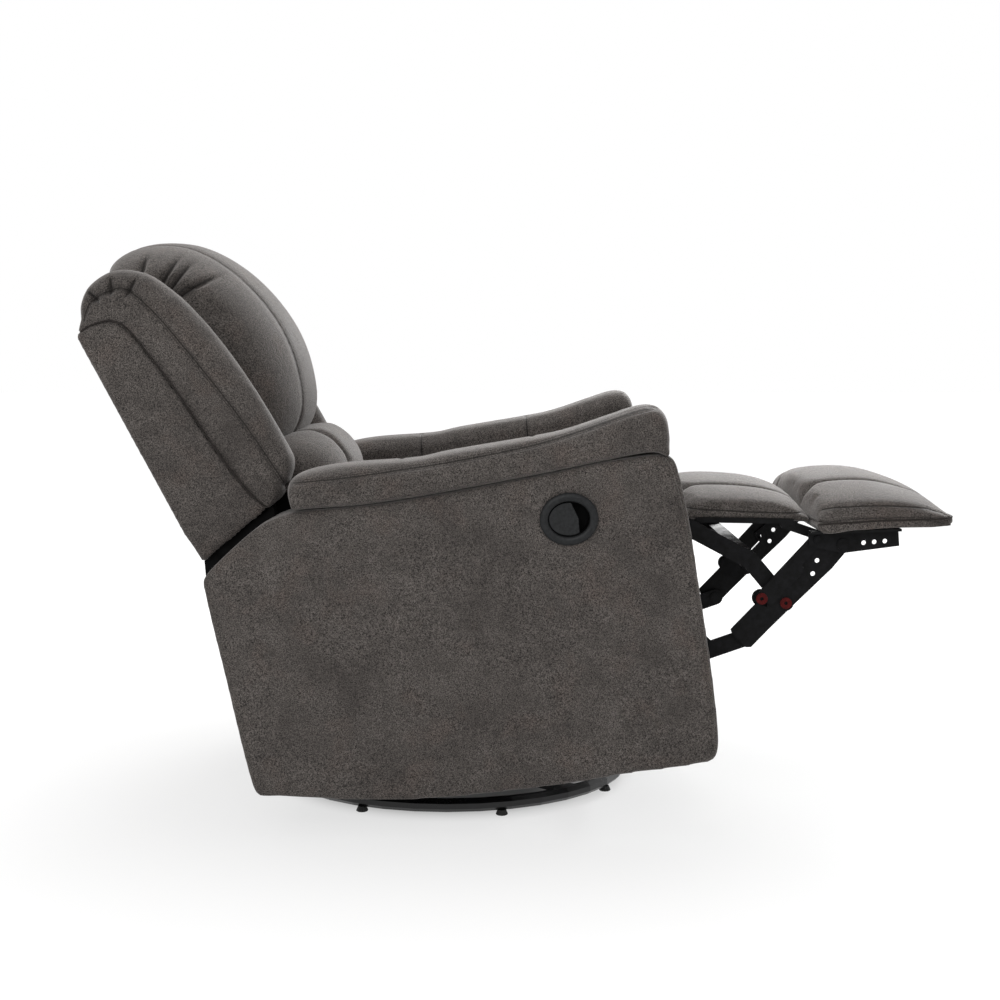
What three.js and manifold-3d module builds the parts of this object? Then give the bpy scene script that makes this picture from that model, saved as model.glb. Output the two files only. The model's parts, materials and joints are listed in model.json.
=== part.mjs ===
// Swivel glider recliner with its footrest out and its back leaned back.
// Millimetres. +X is the front, +Y the sitter's left, +Z up.
import * as THREE from 'three';
import { mergeVertices } from 'three/addons/utils/BufferGeometryUtils.js';
import Module from 'manifold-3d';

const wasm = await Module();
wasm.setup();

const rad = THREE.MathUtils.degToRad;
const both = [['right', -1], ['left', 1]];

// Overall sizes of the chair
const seatGap = 0.4;           // gap that touching pieces keep
const overrun = 5;             // how far a cut runs past the face it opens
const tipDeg = 4.5;            // how far the body leans back on its glider at rest
const armOutside = 405;        // centre to the outer face of an arm
const armWidth = 125;
const armInside = armOutside - armWidth;

// Floor ring
const ring = { radius: 294, tube: 11, footHeight: 8, footRadius: 10, feet: 8, firstFootDeg: -72.7 };
const ringCentreZ = ring.footHeight + ring.tube;
const crossArm = { width: 44, thick: 6 };
const race = { outer: 78, inner: 58, height: 7 };
const bolt = { radius: 8, head: 6, headRadius: 14, play: 0.4 };
const turnPlate = { side: 176, thick: 4 };

// Glider: a base frame that turns, and four links that hang the chair from it
const glider = {
  upperSpan: 300, lowerSpan: 210, linkLength: 105, pivotZ: 235,
  plate: 4, linkThick: 5, linkWidth: 26, play: 0.8, pin: 5, hole: 5.5, openHole: 7.3,
  insideY: 155, railWidth: 30, railHeight: 12, railOver: 40, crossWidth: 40, over: 1, reach: 1.2,
  windowLength: 56, windowHeight: 28,
};
const gliderFloor = ringCentreZ + crossArm.thick / 2 + seatGap + race.height + seatGap;
const gliderBaseZ = gliderFloor + turnPlate.thick + seatGap;

// Flat steel of the mechanism, in parallel planes out from the middle
const steel = {
  thick: 4, play: 0.8, inset: 74, pin: 5, hole: 5.4, small: 4, head: 9.5, headThick: 2.4, smallHead: 6.6,
  width: 28, slim: 21, spacer: 6.4, washer: 3, washerBore: 3, rim: 2,
};
const planeY = (k) => armInside - steel.inset + k * (steel.thick + steel.play);

// Seat, in the level frame of the chair body
const seat = {
  sideGap: 18, rear: -82, length: 467, bottom: 441, height: 76, railWidth: 30, slat: 11, slatPitch: 84, slatWidth: 20,
};
const seatHalf = armInside - seat.sideGap;
const seatFront = seat.rear + seat.length;
const ahead = ([x, z]) => [seatFront + x, z];

// Pivots of the mechanism in the level frame of the chair body, x from the ring's axis
const fromFront = {
  cross: [0, 405], drive: [-63, 353], crossMain: [184, 287], driveMain: [121, 235], crossSecond: [145, 298],
  mainBracket: [279, 376], secondBracket: [240, 387],
  crossBend: [[38, 420], [132, 360]], driveBend: [56, 218], spreader: [129, 361],
};
const pivot = {
  back: [-190, 420],
  cross: ahead(fromFront.cross),
  drive: ahead(fromFront.drive),
  crossMain: ahead(fromFront.crossMain),
  driveMain: ahead(fromFront.driveMain),
  crossSecond: ahead(fromFront.crossSecond),
  mainBracket: ahead(fromFront.mainBracket),
  secondBracket: ahead(fromFront.secondBracket),
};
const crossBend = fromFront.crossBend.map(ahead);
const driveBend = ahead(fromFront.driveBend);
const spreader = { at: ahead(fromFront.spreader), side: 22, wall: 2 };
// Outlines of the two long links, along the line between their outer pivots and up from it
const mainLine = {
  lower: [[-96, -4], [-90, -10], [-50, -10], [-2, -11], [92, -14]],
  upper: [[118, 26], [108, 28], [54, 32], [50, 14.5], [24, 14.5], [14, 28], [0, 31], [-14, 28], [-26, 17], [-31, 34], [-92, 34], [-96, 26]],
};
const mainHoles = [[57, 22], [64, 2], [84, 12]];
const secondLine = {
  lower: [[2, -20], [78, -20], [84, -11]],
};

// Arms
const arm = { length: 752, rear: -330, low: 60, height: 500, wall: 14, edge: 5, padOver: 8, sill: 60 };
// Back, in its own frame: u up along the back from its hinge, w forward
const back = {
  leanDeg: 23.2, overArm: 60, rear: -133, top: 476, wall: 12, hollowLow: 47.6, hollowFront: 48,
  frameRear: -120.6, frameFront: -46, frameTop: 452, frameLow: 96, frameGap: 24, stile: 34,
};
const backHalf = armOutside - back.overArm, frameHalf = armInside - seat.sideGap - back.frameGap;
const wing = { height: 432, depth: 178, edgeGap: 1 };
const wingInside = armInside - seat.sideGap;
const headPad = { sideGap: 6, low: 198, height: 366, depth: 190 };
const headHalf = wingInside - headPad.sideGap;
const lumbarPad = { sideGap: 10, low: 46, height: 148, depth: 186 };
const lumbarHalf = wingInside - lumbarPad.sideGap;
const sidePlate = { height: 82, slotLength: 38, slotHeight: 11, slotPitch: 128, firstSlot: 141 };
const baseRail = { rear: -240, length: 520, z: 331, height: 40 };
const crossTube = { side: 25, wall: 2, frontX: 60, rearX: -200, z: 270 };
// Footrest
const rest = {
  sideGap: 18, ahead: 221, length: 240, bottom: 415, dropDeg: 2.5, height: 76, board: 11, boardRear: 18, boardInset: 7,
  midSideGap: 83, midAhead: 29, midLength: 187, midBottom: 437, midDropDeg: 5.4, midHeight: 58, midSlab: 8,
  bracket: 149, bracketDepth: 30, holePitch: 17, firstHole: 34, shelfRear: 22, shelfFront: 180,
  strapRear: 78, strapFront: 108, legAhead: 166, leg: 16,
};
const restHalf = armInside - rest.sideGap, restRear = seatFront + rest.ahead;
const midHalf = armInside - rest.midSideGap, midRear = seatFront + rest.midAhead;
const channel = { atShare: [-0.36, 0.36], width: 9, clear: 13, depthShare: 0.12 };
// Release handle in the right arm
const handle = {
  behindFront: 197, underTop: 89, outerX: 44, outerZ: 39.5, openX: 31, openZ: 25.5, wall: 2.5, rim: 5, depth: 24,
  lip: 1, round: 1.2, paddleThick: 4.5, play: 1.2, sink: 1, split: 8, slant: 6,
};
const handleX = arm.rear + arm.length - handle.behindFront, handleZ = arm.low + arm.height - handle.underTop;

const colour = { cover: 0x57514e, steel: 0x17171a, plastic: 0x1a1a1c, wood: 0x9a7b55, red: 0xa82a22, black: 0x101012 };
const finishes = {
  cover: new THREE.MeshStandardMaterial({ color: colour.cover, roughness: 0.82, metalness: 0 }),
  steel: new THREE.MeshStandardMaterial({ color: colour.steel, roughness: 0.5, metalness: 0.7 }),
  plastic: new THREE.MeshStandardMaterial({ color: colour.plastic, roughness: 0.45, metalness: 0 }),
  wood: new THREE.MeshStandardMaterial({ color: colour.wood, roughness: 0.8, metalness: 0 }),
  red: new THREE.MeshStandardMaterial({ color: colour.red, roughness: 0.5, metalness: 0 }),
  glide: new THREE.MeshStandardMaterial({ color: colour.black, roughness: 0.7, metalness: 0 }),
};

const recliner = new THREE.Group();
const body = new THREE.Group();          // all that tips with the chair body
body.rotation.y = -rad(tipDeg);
recliner.add(body);

function piece(name, geometry, finish, parent = body) {
  const mesh = new THREE.Mesh(geometry, finishes[finish]);
  mesh.name = name;
  parent.add(mesh);
  return mesh;
}

// Booleans on closed meshes
function solid(geometry) {
  const bare = geometry.clone();
  for (const key of Object.keys(bare.attributes)) if (key !== 'position') bare.deleteAttribute(key);
  const merged = mergeVertices(bare, 1e-4);
  const index = merged.index.array;
  return new wasm.Manifold(new wasm.Mesh({
    numProp: 3, vertProperties: new Float32Array(merged.attributes.position.array), triVerts: new Uint32Array(index),
  }));
}
function fromSolid(body3d) {
  const mesh = body3d.getMesh();
  const geometry = new THREE.BufferGeometry();
  geometry.setAttribute('position', new THREE.BufferAttribute(new Float32Array(mesh.vertProperties), 3));
  geometry.setIndex(new THREE.BufferAttribute(new Uint32Array(mesh.triVerts), 1));
  return geometry;
}
function join(...parts) {
  return fromSolid(parts.map(solid).reduce((sum, next) => sum.add(next)));
}
function cut(from, ...tools) {
  return fromSolid(tools.map(solid).reduce((left, tool) => left.subtract(tool), solid(from)));
}

// A box from its low corner and sizes
function block(x, y, z, dx, dy, dz) {
  const geometry = new THREE.BoxGeometry(dx, dy, dz);
  geometry.translate(x + dx / 2, y + dy / 2, z + dz / 2);
  return geometry;
}
// A rod or disc along Y between two distances from the middle, on one side of the chair
function rodY(x, z, radius, near, far, side, sides = 12) {
  const geometry = new THREE.CylinderGeometry(radius, radius, far - near, sides);
  geometry.translate(x, side * (near + far) / 2, z);
  return geometry;
}
function discZ(radius, low, high, sides = 32) {
  const geometry = new THREE.CylinderGeometry(radius, radius, high - low, sides);
  geometry.rotateX(Math.PI / 2);
  geometry.translate(0, 0, (low + high) / 2);
  return geometry;
}
// A flat outline in x and z, extruded across Y on one side of the chair
function plateY(shape, near, far, side, options = {}) {
  const bevel = options.bevel ?? 0;
  const geometry = new THREE.ExtrudeGeometry(shape, {
    depth: far - near - 2 * bevel, curveSegments: options.segments ?? 6, bevelEnabled: bevel > 0,
    bevelSize: bevel, bevelThickness: bevel, bevelOffset: -bevel, bevelSegments: options.rounds ?? 1,
  });
  geometry.rotateX(Math.PI / 2);
  const highest = side > 0 ? far : -near;
  geometry.translate(0, highest - bevel, 0);
  return geometry;
}
// The outline of a flat bar with round ends that runs through several points
function barShape(points, width, holes = []) {
  const r = width / 2;
  const at = points.map(([x, z]) => new THREE.Vector2(x, z));
  const legs = at.slice(1).map((p, i) => p.clone().sub(at[i]).normalize());
  const normal = (d) => new THREE.Vector2(-d.y, d.x);
  const shape = new THREE.Shape();
  const start = Math.atan2(legs[0].y, legs[0].x);
  const end = Math.atan2(legs.at(-1).y, legs.at(-1).x);
  const corner = (i, sign) => {
    const a = normal(legs[i - 1]), b = normal(legs[i]);
    const mid = a.clone().add(b).normalize();
    return at[i].clone().addScaledVector(mid, sign * r / mid.dot(a));
  };
  const first = at[0].clone().addScaledVector(normal(legs[0]), -r);
  shape.moveTo(first.x, first.y);
  for (let i = 1; i < at.length - 1; i += 1) {
    const c = corner(i, -1);
    shape.lineTo(c.x, c.y);
  }
  const last = at.at(-1);
  const lastSide = last.clone().addScaledVector(normal(legs.at(-1)), -r);
  shape.lineTo(lastSide.x, lastSide.y);
  shape.absarc(last.x, last.y, r, end - Math.PI / 2, end + Math.PI / 2, false);
  for (let i = at.length - 2; i > 0; i -= 1) {
    const c = corner(i, 1);
    shape.lineTo(c.x, c.y);
  }
  const back0 = at[0].clone().addScaledVector(normal(legs[0]), r);
  shape.lineTo(back0.x, back0.y);
  shape.absarc(at[0].x, at[0].y, r, start + Math.PI / 2, start + 1.5 * Math.PI, false);
  for (const [x, z, radius] of holes) {
    const hole = new THREE.Path();
    hole.absarc(x, z, radius, 0, 2 * Math.PI, true);
    shape.holes.push(hole);
  }
  return shape;
}
function smoothShape(points, smooth = true) {
  const list = points.map(([x, z]) => new THREE.Vector2(x, z));
  const shape = new THREE.Shape();
  shape.moveTo(list[0].x, list[0].y);
  if (smooth) shape.splineThru(list.slice(1));
  else for (const p of list.slice(1)) shape.lineTo(p.x, p.y);
  return shape;
}

// A stuffed pad: its underside follows one curve in x and z, its crown another, and it
// swells across Y between two sides, with sewn channels that run along it.
function pad({ base, crown, from, to, along, across, edgeShare, roundness, channels = [], depthShare = 0, pull = 0 }) {
  const low = new THREE.SplineCurve(base.map(([x, z]) => new THREE.Vector2(x, z))).getSpacedPoints(along);
  const high = new THREE.SplineCurve(crown.map(([x, z]) => new THREE.Vector2(x, z))).getSpacedPoints(along);
  const middle = (from + to) / 2, half = (to - from) / 2;
  const stations = [];
  for (let j = 0; j <= across; j += 1) stations.push(middle - half * Math.cos(Math.PI * j / across));
  for (const y of channels) {
    for (let s = stations.length - 1; s > 0; s -= 1) {
      if (Math.abs(stations[s] - y) < channel.clear && s < stations.length - 1) stations.splice(s, 1);
    }
    stations.push(y - channel.width, y, y + channel.width);
  }
  stations.sort((a, b) => a - b);
  const swell = (y) => {
    const t = Math.min(1, Math.abs((y - middle) / half));
    let k = edgeShare + (1 - edgeShare) * (1 - t ** roundness) ** (1 / roundness);
    for (const c of channels) k -= depthShare * Math.exp(-(((y - c) / channel.width) ** 2) * 2);
    return k;
  };
  const positions = [];
  const rows = stations.length;
  const put = (p, y) => positions.push(p[0], y, p[1]) / 3 - 1;
  const top = [], bottom = [];
  for (const y of stations) {
    const k = swell(y);
    top.push(low.map((b, i) => {
      const draw = 1 - pull * Math.sin(Math.PI * i / along);
      return put([b.x + (high[i].x - b.x) * k, b.y + (high[i].y - b.y) * k], middle + (y - middle) * draw);
    }));
    bottom.push(low.map((b, i) => {
      const draw = 1 - pull * Math.sin(Math.PI * i / along);
      return put([b.x, b.y], middle + (y - middle) * draw);
    }));
  }
  const faces = [];
  const quad = (a, b, c, d) => faces.push(a, b, c, a, c, d);
  for (let j = 0; j < rows - 1; j += 1) {
    for (let i = 0; i < along; i += 1) quad(top[j][i], top[j][i + 1], top[j + 1][i + 1], top[j + 1][i]);
    quad(bottom[j][0], top[j][0], top[j + 1][0], bottom[j + 1][0]);
    quad(top[j][along], bottom[j][along], bottom[j + 1][along], top[j + 1][along]);
  }
  for (let i = 0; i < along; i += 1) {
    quad(bottom[0][i], bottom[0][i + 1], top[0][i + 1], top[0][i]);
    quad(top[rows - 1][i], top[rows - 1][i + 1], bottom[rows - 1][i + 1], bottom[rows - 1][i]);
  }
  const last = rows - 1, turn = Math.floor(last / 2);
  const closeRow = (edge, inner) => {
    const put3 = (a, b, c) => (inner > edge ? faces.push(a, b, c) : faces.push(a, c, b));
    for (let j = 0; j < turn; j += 1) put3(bottom[j][edge], bottom[j + 1][edge], bottom[0][inner]);
    put3(bottom[turn][edge], bottom[last][inner], bottom[0][inner]);
    for (let j = turn; j < last; j += 1) put3(bottom[j][edge], bottom[j + 1][edge], bottom[last][inner]);
  };
  closeRow(0, 1);
  closeRow(along, along - 1);
  for (let i = 1; i < along - 1; i += 1) quad(bottom[0][i], bottom[last][i], bottom[last][i + 1], bottom[0][i + 1]);
  const geometry = new THREE.BufferGeometry();
  geometry.setAttribute('position', new THREE.Float32BufferAttribute(positions, 3));
  geometry.setIndex(faces);
  return outward(geometry);
}
// Turns a closed mesh so that its faces point out
function outward(geometry) {
  const p = geometry.attributes.position, index = geometry.index.array;
  const [a, b, c] = [new THREE.Vector3(), new THREE.Vector3(), new THREE.Vector3()];
  let volume = 0;
  for (let f = 0; f < index.length; f += 3) {
    a.fromBufferAttribute(p, index[f]);
    b.fromBufferAttribute(p, index[f + 1]);
    c.fromBufferAttribute(p, index[f + 2]);
    volume += a.dot(b.cross(c));
  }
  if (volume < 0) for (let f = 0; f < index.length; f += 3) [index[f + 1], index[f + 2]] = [index[f + 2], index[f + 1]];
  return geometry;
}
const spread = (share, originX, originZ, dx, dz) => share.map(([x, z]) => [originX + x * dx, originZ + z * dz]);

// Floor ring, its two cross arms and its feet
function floorRing() {
  const turns = 36, sides = 8;
  const profile = [];
  for (let i = 0; i <= sides; i += 1) {
    const a = 2 * Math.PI * i / sides + Math.PI / sides;
    profile.push(new THREE.Vector2(ring.radius + ring.tube * Math.cos(a), ring.tube * Math.sin(a)));
  }
  const hoop = new THREE.LatheGeometry(profile, turns);
  hoop.rotateX(Math.PI / 2);
  hoop.translate(0, 0, ringCentreZ);
  const arms = [0, 1].map((i) => {
    const bar = block(-ring.radius, -crossArm.width / 2, ringCentreZ - crossArm.thick / 2,
      2 * ring.radius, crossArm.width, crossArm.thick);
    bar.rotateZ(i * Math.PI / 2 + Math.PI / 4);
    return bar;
  });
  piece('base_ring', cut(join(hoop, ...arms), discZ(bolt.radius + bolt.play, -overrun, ringCentreZ + overrun, 16)),
    'steel', recliner);
  for (let i = 0; i < ring.feet; i += 1) {
    const angle = rad(ring.firstFootDeg) + i * 2 * Math.PI / ring.feet;
    const height = ring.footHeight + ring.tube * (1 - Math.cos(Math.PI / sides)) - seatGap;
    const profileShare = [[0, 0], [0.85, 0], [1, 0.2], [0.7, 1], [0, 1]];
    const foot = new THREE.LatheGeometry(
      profileShare.map(([r, z]) => new THREE.Vector2(r * ring.footRadius, z * height)), 10);
    foot.rotateX(Math.PI / 2);
    foot.translate(ring.radius * Math.cos(angle), ring.radius * Math.sin(angle), 0);
    piece(`floor_glide_${i + 1}`, foot, 'glide', recliner);
  }
  const raceLow = ringCentreZ + crossArm.thick / 2 + seatGap;
  piece('swivel_race', cut(discZ(race.outer, raceLow, raceLow + race.height),
    discZ(race.inner, raceLow - overrun, raceLow + race.height + overrun)), 'steel', recliner);
}

// Frame that turns on the ring and carries the upper pivots of the hanging links
const upperPivot = (front) => new THREE.Vector2(front * glider.upperSpan / 2, glider.pivotZ);
const lowerPivot = (() => {
  // The links' lower ends lie a fixed span apart on a line tipped by tipDeg
  const chord = new THREE.Vector2(Math.cos(rad(tipDeg)), Math.sin(rad(tipDeg))).multiplyScalar(glider.lowerSpan);
  const w = chord.sub(new THREE.Vector2(glider.upperSpan, 0)).divideScalar(glider.linkLength);
  const m = new THREE.Vector2(-w.y, w.x).setLength(Math.sqrt(1 - w.lengthSq() / 4));
  if (m.y > 0) m.negate();
  return (front) => upperPivot(front).addScaledVector(m.clone().addScaledVector(w, front / 2), glider.linkLength);
})();
const level = (p) => {
  // A point of the resting chair in the level frame of its body
  const c = Math.cos(rad(tipDeg)), s = Math.sin(rad(tipDeg));
  return [p.x * c + p.y * s, -p.x * s + p.y * c];
};
function swivelBolt() {
  const under = ringCentreZ - crossArm.thick / 2, over = gliderFloor + turnPlate.thick;
  const shaft = discZ(bolt.radius, under - bolt.head - seatGap, over + bolt.head + seatGap, 16);
  const headLow = discZ(bolt.headRadius, under - bolt.head - seatGap, under - seatGap, 6);
  const nut = discZ(bolt.headRadius, over + seatGap, over + bolt.head + seatGap, 6);
  piece('swivel_bolt', join(shaft, headLow, nut), 'steel', recliner);
}
function gliderBase() {
  const plate = new THREE.Shape();
  const h = turnPlate.side / 2;
  plate.moveTo(-h, -h).lineTo(h, -h).lineTo(h, h).lineTo(-h, h);
  const bore = new THREE.Path().absarc(0, 0, bolt.radius + bolt.play, 0, 2 * Math.PI, true);
  plate.holes.push(bore);
  const turn = new THREE.ExtrudeGeometry(plate, { depth: turnPlate.thick, bevelEnabled: false, curveSegments: 8 });
  turn.translate(0, 0, gliderFloor);
  piece('swivel_plate', turn, 'steel', recliner);

  const length = glider.upperSpan + 2 * glider.railOver;
  const inner = glider.insideY + glider.plate - glider.railWidth;
  const parts = [];
  for (const [, side] of both) {
    const y = side > 0 ? inner : -inner - glider.railWidth;
    parts.push(block(-length / 2, y, gliderBaseZ, length, glider.railWidth, glider.railHeight));
    for (const front of [-1, 1]) {
      const at = upperPivot(front);
      const foot = glider.linkWidth;
      const shape = new THREE.Shape();
      shape.moveTo(at.x - foot, gliderBaseZ);
      shape.lineTo(at.x + foot, gliderBaseZ);
      shape.lineTo(at.x + foot / 2, at.y);
      shape.absarc(at.x, at.y, foot / 2, 0, Math.PI, false);
      parts.push(plateY(shape, glider.insideY, glider.insideY + glider.plate, side));
      const reach = glider.insideY + glider.plate + glider.linkThick + glider.reach;
      parts.push(rodY(at.x, at.y, glider.pin, glider.insideY + glider.plate / 2, reach, side));
    }
  }
  for (const front of [-1, 1]) {
    const x = front * (length / 2 - glider.crossWidth);
    parts.push(block(Math.min(x, x + front * glider.crossWidth), -inner - overrun, gliderBaseZ,
      glider.crossWidth, 2 * (inner + overrun), glider.railHeight / 2));
  }
  parts.push(block(-h, -inner - overrun, gliderBaseZ, turnPlate.side, 2 * (inner + overrun), glider.railHeight / 2));
  const roomForNut = discZ(bolt.headRadius + overrun, gliderBaseZ - overrun, gliderBaseZ + glider.railHeight, 16);
  piece('glider_base', cut(join(...parts), roomForNut), 'steel', recliner);

  const linkNear = glider.insideY + glider.plate + glider.play;
  for (const [name, side] of both) {
    for (const [end, front] of [['rear', -1], ['front', 1]]) {
      const a = upperPivot(front), b = lowerPivot(front);
      const lowHole = front > 0 ? glider.openHole : glider.hole;
      const shape = barShape([[a.x, a.y], [b.x, b.y]], glider.linkWidth,
        [[a.x, a.y, glider.hole], [b.x, b.y, lowHole]]);
      piece(`swing_link_${end}_${name}`, plateY(shape, linkNear, linkNear + glider.linkThick, side), 'steel', recliner);
    }
  }
}

// Carriage under the chair: plates at the links' lower ends, hung from two cross tubes
function carriage() {
  const near = glider.insideY + glider.plate + 2 * glider.play + glider.linkThick;
  const far = near + glider.plate;
  const low = [level(lowerPivot(-1)), level(lowerPivot(1))];
  const r = glider.linkWidth / 2 + glider.over;
  for (const [name, side] of both) {
    const shape = new THREE.Shape();
    shape.moveTo(low[0][0], low[0][1] - r);
    shape.lineTo(low[1][0], low[1][1] - r);
    shape.absarc(low[1][0], low[1][1], r, -Math.PI / 2, 0, false);
    shape.lineTo(crossTube.frontX + crossTube.side, crossTube.z - seatGap);
    shape.lineTo(crossTube.rearX, crossTube.z - seatGap);
    shape.lineTo(low[0][0] - r, low[0][1]);
    shape.absarc(low[0][0], low[0][1], r, Math.PI, 1.5 * Math.PI, false);
    const window = new THREE.Path();
    const midZ = (low[0][1] + crossTube.z) / 2;
    window.absellipse(-glider.railOver, midZ, glider.windowLength, glider.windowHeight, 0, 2 * Math.PI, true);
    shape.holes.push(window);
    const inward = glider.insideY + glider.plate + glider.play;
    piece(`carriage_plate_${name}`, join(plateY(shape, near, far, side),
      ...low.map(([x, z]) => rodY(x, z, glider.pin, inward, far - glider.over, side))), 'steel');
  }
  for (const [name, x] of [['front', crossTube.frontX], ['rear', crossTube.rearX]]) {
    const wall = crossTube.wall;
    const span = armInside - seatGap;
    const tube = cut(block(x, -span, crossTube.z, crossTube.side, 2 * span, crossTube.side),
      block(x + wall, -span - overrun, crossTube.z + wall, crossTube.side - 2 * wall, 2 * (span + overrun),
        crossTube.side - 2 * wall));
    piece(`carriage_tube_${name}`, tube, 'steel');
  }
}

// Arms: a covered box with an open bottom, and a stuffed pad on top
const panelTopShare = [[0.197, 0.906], [0.31, 0.907], [0.39, 0.912], [0.51, 0.928], [0.68, 0.956], [0.83, 0.984], [0.925, 0.992]];
const panelFrontShare = [[0.952, 0.98], [0.963, 0.93], [0.977, 0.79], [0.988, 0.58], [1, 0.36], [1.006, 0.17], [1.004, 0.085],
  [0.992, 0.05]];
const panelBottomShare = [[0.92, 0.038], [0.81, 0.03], [0.705, 0.014], [0.56, 0.004], [0.415, 0], [0.27, 0.014], [0.157, 0.034],
  [0.11, 0.045]];
const panelRearShare = [[0.072, 0.05], [0.06, 0.09], [0.045, 0.225], [0.027, 0.42], [0.01, 0.59], [0, 0.71]];
const shoulderShare = [[0.008, 0.738], [0.058, 0.802], [0.112, 0.862], [0.154, 0.89]];
const onPanel = (share) => spread(share, arm.rear, arm.low, arm.length, arm.height);
function panelShape() {
  const top = onPanel(panelTopShare);
  const shape = new THREE.Shape();
  shape.moveTo(...top[0]);
  const run = (points) => shape.splineThru(points.map(([x, z]) => new THREE.Vector2(x, z)));
  run(top.slice(1));
  run(onPanel(panelFrontShare));
  run(onPanel(panelBottomShare));
  run(onPanel(panelRearShare));
  run([...onPanel(shoulderShare), top[0]]);
  return shape;
}
function arms() {
  const outline = panelShape();
  const points = outline.getPoints(1);
  const centre = new THREE.Vector2(arm.rear + arm.length / 2, arm.low + arm.height / 2);
  const insideShape = new THREE.Shape(points.map((p) => {
    const x = centre.x + (p.x - centre.x) * (1 - 2 * arm.wall / arm.length);
    const z = centre.y + (p.y - centre.y) * (1 - 2 * arm.wall / arm.height);
    return new THREE.Vector2(x, p.y < arm.low + arm.sill ? arm.low - overrun : z);
  }));
  for (const [name, side] of both) {
    let shell = cut(plateY(outline, armInside, armOutside, side, { segments: 2, bevel: arm.edge }),
      plateY(insideShape, armInside + arm.wall, armOutside - arm.wall, side));
    if (side < 0) {
      const hole = ellipse(handle.openX + handle.wall + seatGap, handle.openZ + handle.wall + seatGap);
      shell = cut(shell, plateY(hole, armOutside - arm.wall - overrun, armOutside + overrun, side));
    }
    piece(`arm_panel_${name}`, shell, 'cover');
    // The pad's underside keeps to the panel's top
    const topLine = onPanel([[0.184, 0.915], ...panelTopShare.slice(1, -1), [0.93, 1.0], [0.945, 0.985]])
      .map(([x, z]) => [x, z + seatGap]);
    const crown = spread(armCrownShare, arm.rear, arm.low, arm.length, arm.height);
    const near = armInside - arm.padOver, far = armOutside + arm.padOver;
    piece(`arm_pad_${name}`, pad({
      base: topLine, crown, from: side > 0 ? near : -far, to: side > 0 ? far : -near,
      along: 22, across: 11, edgeShare: 0.34, roundness: 2.6,
    }), 'cover');
  }
}
const armCrownShare = [[0.183, 0.925], [0.181, 0.965], [0.19, 0.998], [0.222, 1.023], [0.30, 1.034], [0.44, 1.033],
  [0.52, 1.05], [0.68, 1.072], [0.77, 1.09], [0.85, 1.122], [0.91, 1.143], [0.935, 1.13], [0.946, 1.08], [0.947, 1.02], [0.946, 0.99]];

function ellipse(rx, rz, cx = handleX, cz = handleZ) {
  const shape = new THREE.Shape();
  shape.absellipse(cx, cz, rx, rz, 0, 2 * Math.PI, false);
  return shape;
}
// Recessed release handle: an oval bezel with a cup, and a paddle hinged at its rear edge
function releaseHandle() {
  const face = armOutside + seatGap;
  const rim = ellipse(handle.outerX, handle.outerZ);
  rim.holes.push(new THREE.Path().absellipse(handleX, handleZ, handle.openX, handle.openZ, 0, 2 * Math.PI, true));
  const wallShape = ellipse(handle.openX + handle.wall, handle.openZ + handle.wall);
  const cup = cut(plateY(wallShape, face - handle.depth, face + handle.lip, -1),
    plateY(ellipse(handle.openX, handle.openZ), face - handle.depth + handle.wall, face + overrun, -1));
  piece('handle_bezel', join(plateY(rim, face, face + handle.rim, -1, { bevel: handle.round, segments: 12 }), cup), 'plastic');
  const blade = ellipse(handle.openX - handle.play, handle.openZ - handle.play);
  const front = face + handle.rim - handle.sink;
  const edge = new THREE.Shape();
  const far = handleX + handle.openX + overrun;
  edge.moveTo(handleX + handle.split - handle.slant, handleZ + handle.openZ + overrun);
  edge.lineTo(handleX + handle.split + handle.slant, handleZ);
  edge.lineTo(handleX + handle.split + handle.slant, handleZ - handle.openZ - overrun);
  edge.lineTo(far, handleZ - handle.openZ - overrun);
  edge.lineTo(far, handleZ + handle.openZ + overrun);
  piece('handle_paddle', cut(plateY(blade, front - handle.paddleThick, front, -1, { segments: 12 }),
    plateY(edge, front - handle.paddleThick - overrun, front + overrun, -1)), 'plastic');
}

// Rails that join the arms, and the covered panel between them at the rear
const rearPanelShare = [[0.083, 0.06], [0.055, 0.24], [0.034, 0.44], [0.012, 0.66], [0.03, 0.66], [0.052, 0.44], [0.073, 0.24], [0.1, 0.06]];
const frontRail = { x: 250, z: 78, depth: 30, height: 30 };
function armRails() {
  const span = armInside - seatGap;
  piece('front_rail', block(frontRail.x, -span, frontRail.z, frontRail.depth, 2 * span, frontRail.height), 'wood');
  const shape = smoothShape(onPanel(rearPanelShare), false);
  const geometry = new THREE.ExtrudeGeometry(shape, { depth: 2 * span, bevelEnabled: false });
  geometry.rotateX(Math.PI / 2);
  geometry.translate(0, span, 0);
  piece('rear_panel', geometry, 'cover');
  for (const [name, side] of both) {
    const near = planeY(3) + seatGap - steel.play;
    const lip = plateY(smoothShape([[baseRail.rear, baseRail.z], [baseRail.rear + baseRail.length, baseRail.z],
      [baseRail.rear + baseRail.length, baseRail.z + baseRail.height], [baseRail.rear, baseRail.z + baseRail.height]],
    false), near, near + steel.thick, side);
    const floor = plateY(smoothShape([[baseRail.rear, baseRail.z], [baseRail.rear + baseRail.length, baseRail.z],
      [baseRail.rear + baseRail.length, baseRail.z + steel.thick], [baseRail.rear, baseRail.z + steel.thick]],
    false), near, armInside - seatGap, side);
    piece(`base_rail_${name}`, join(lip, floor), 'steel');
  }
}

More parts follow.
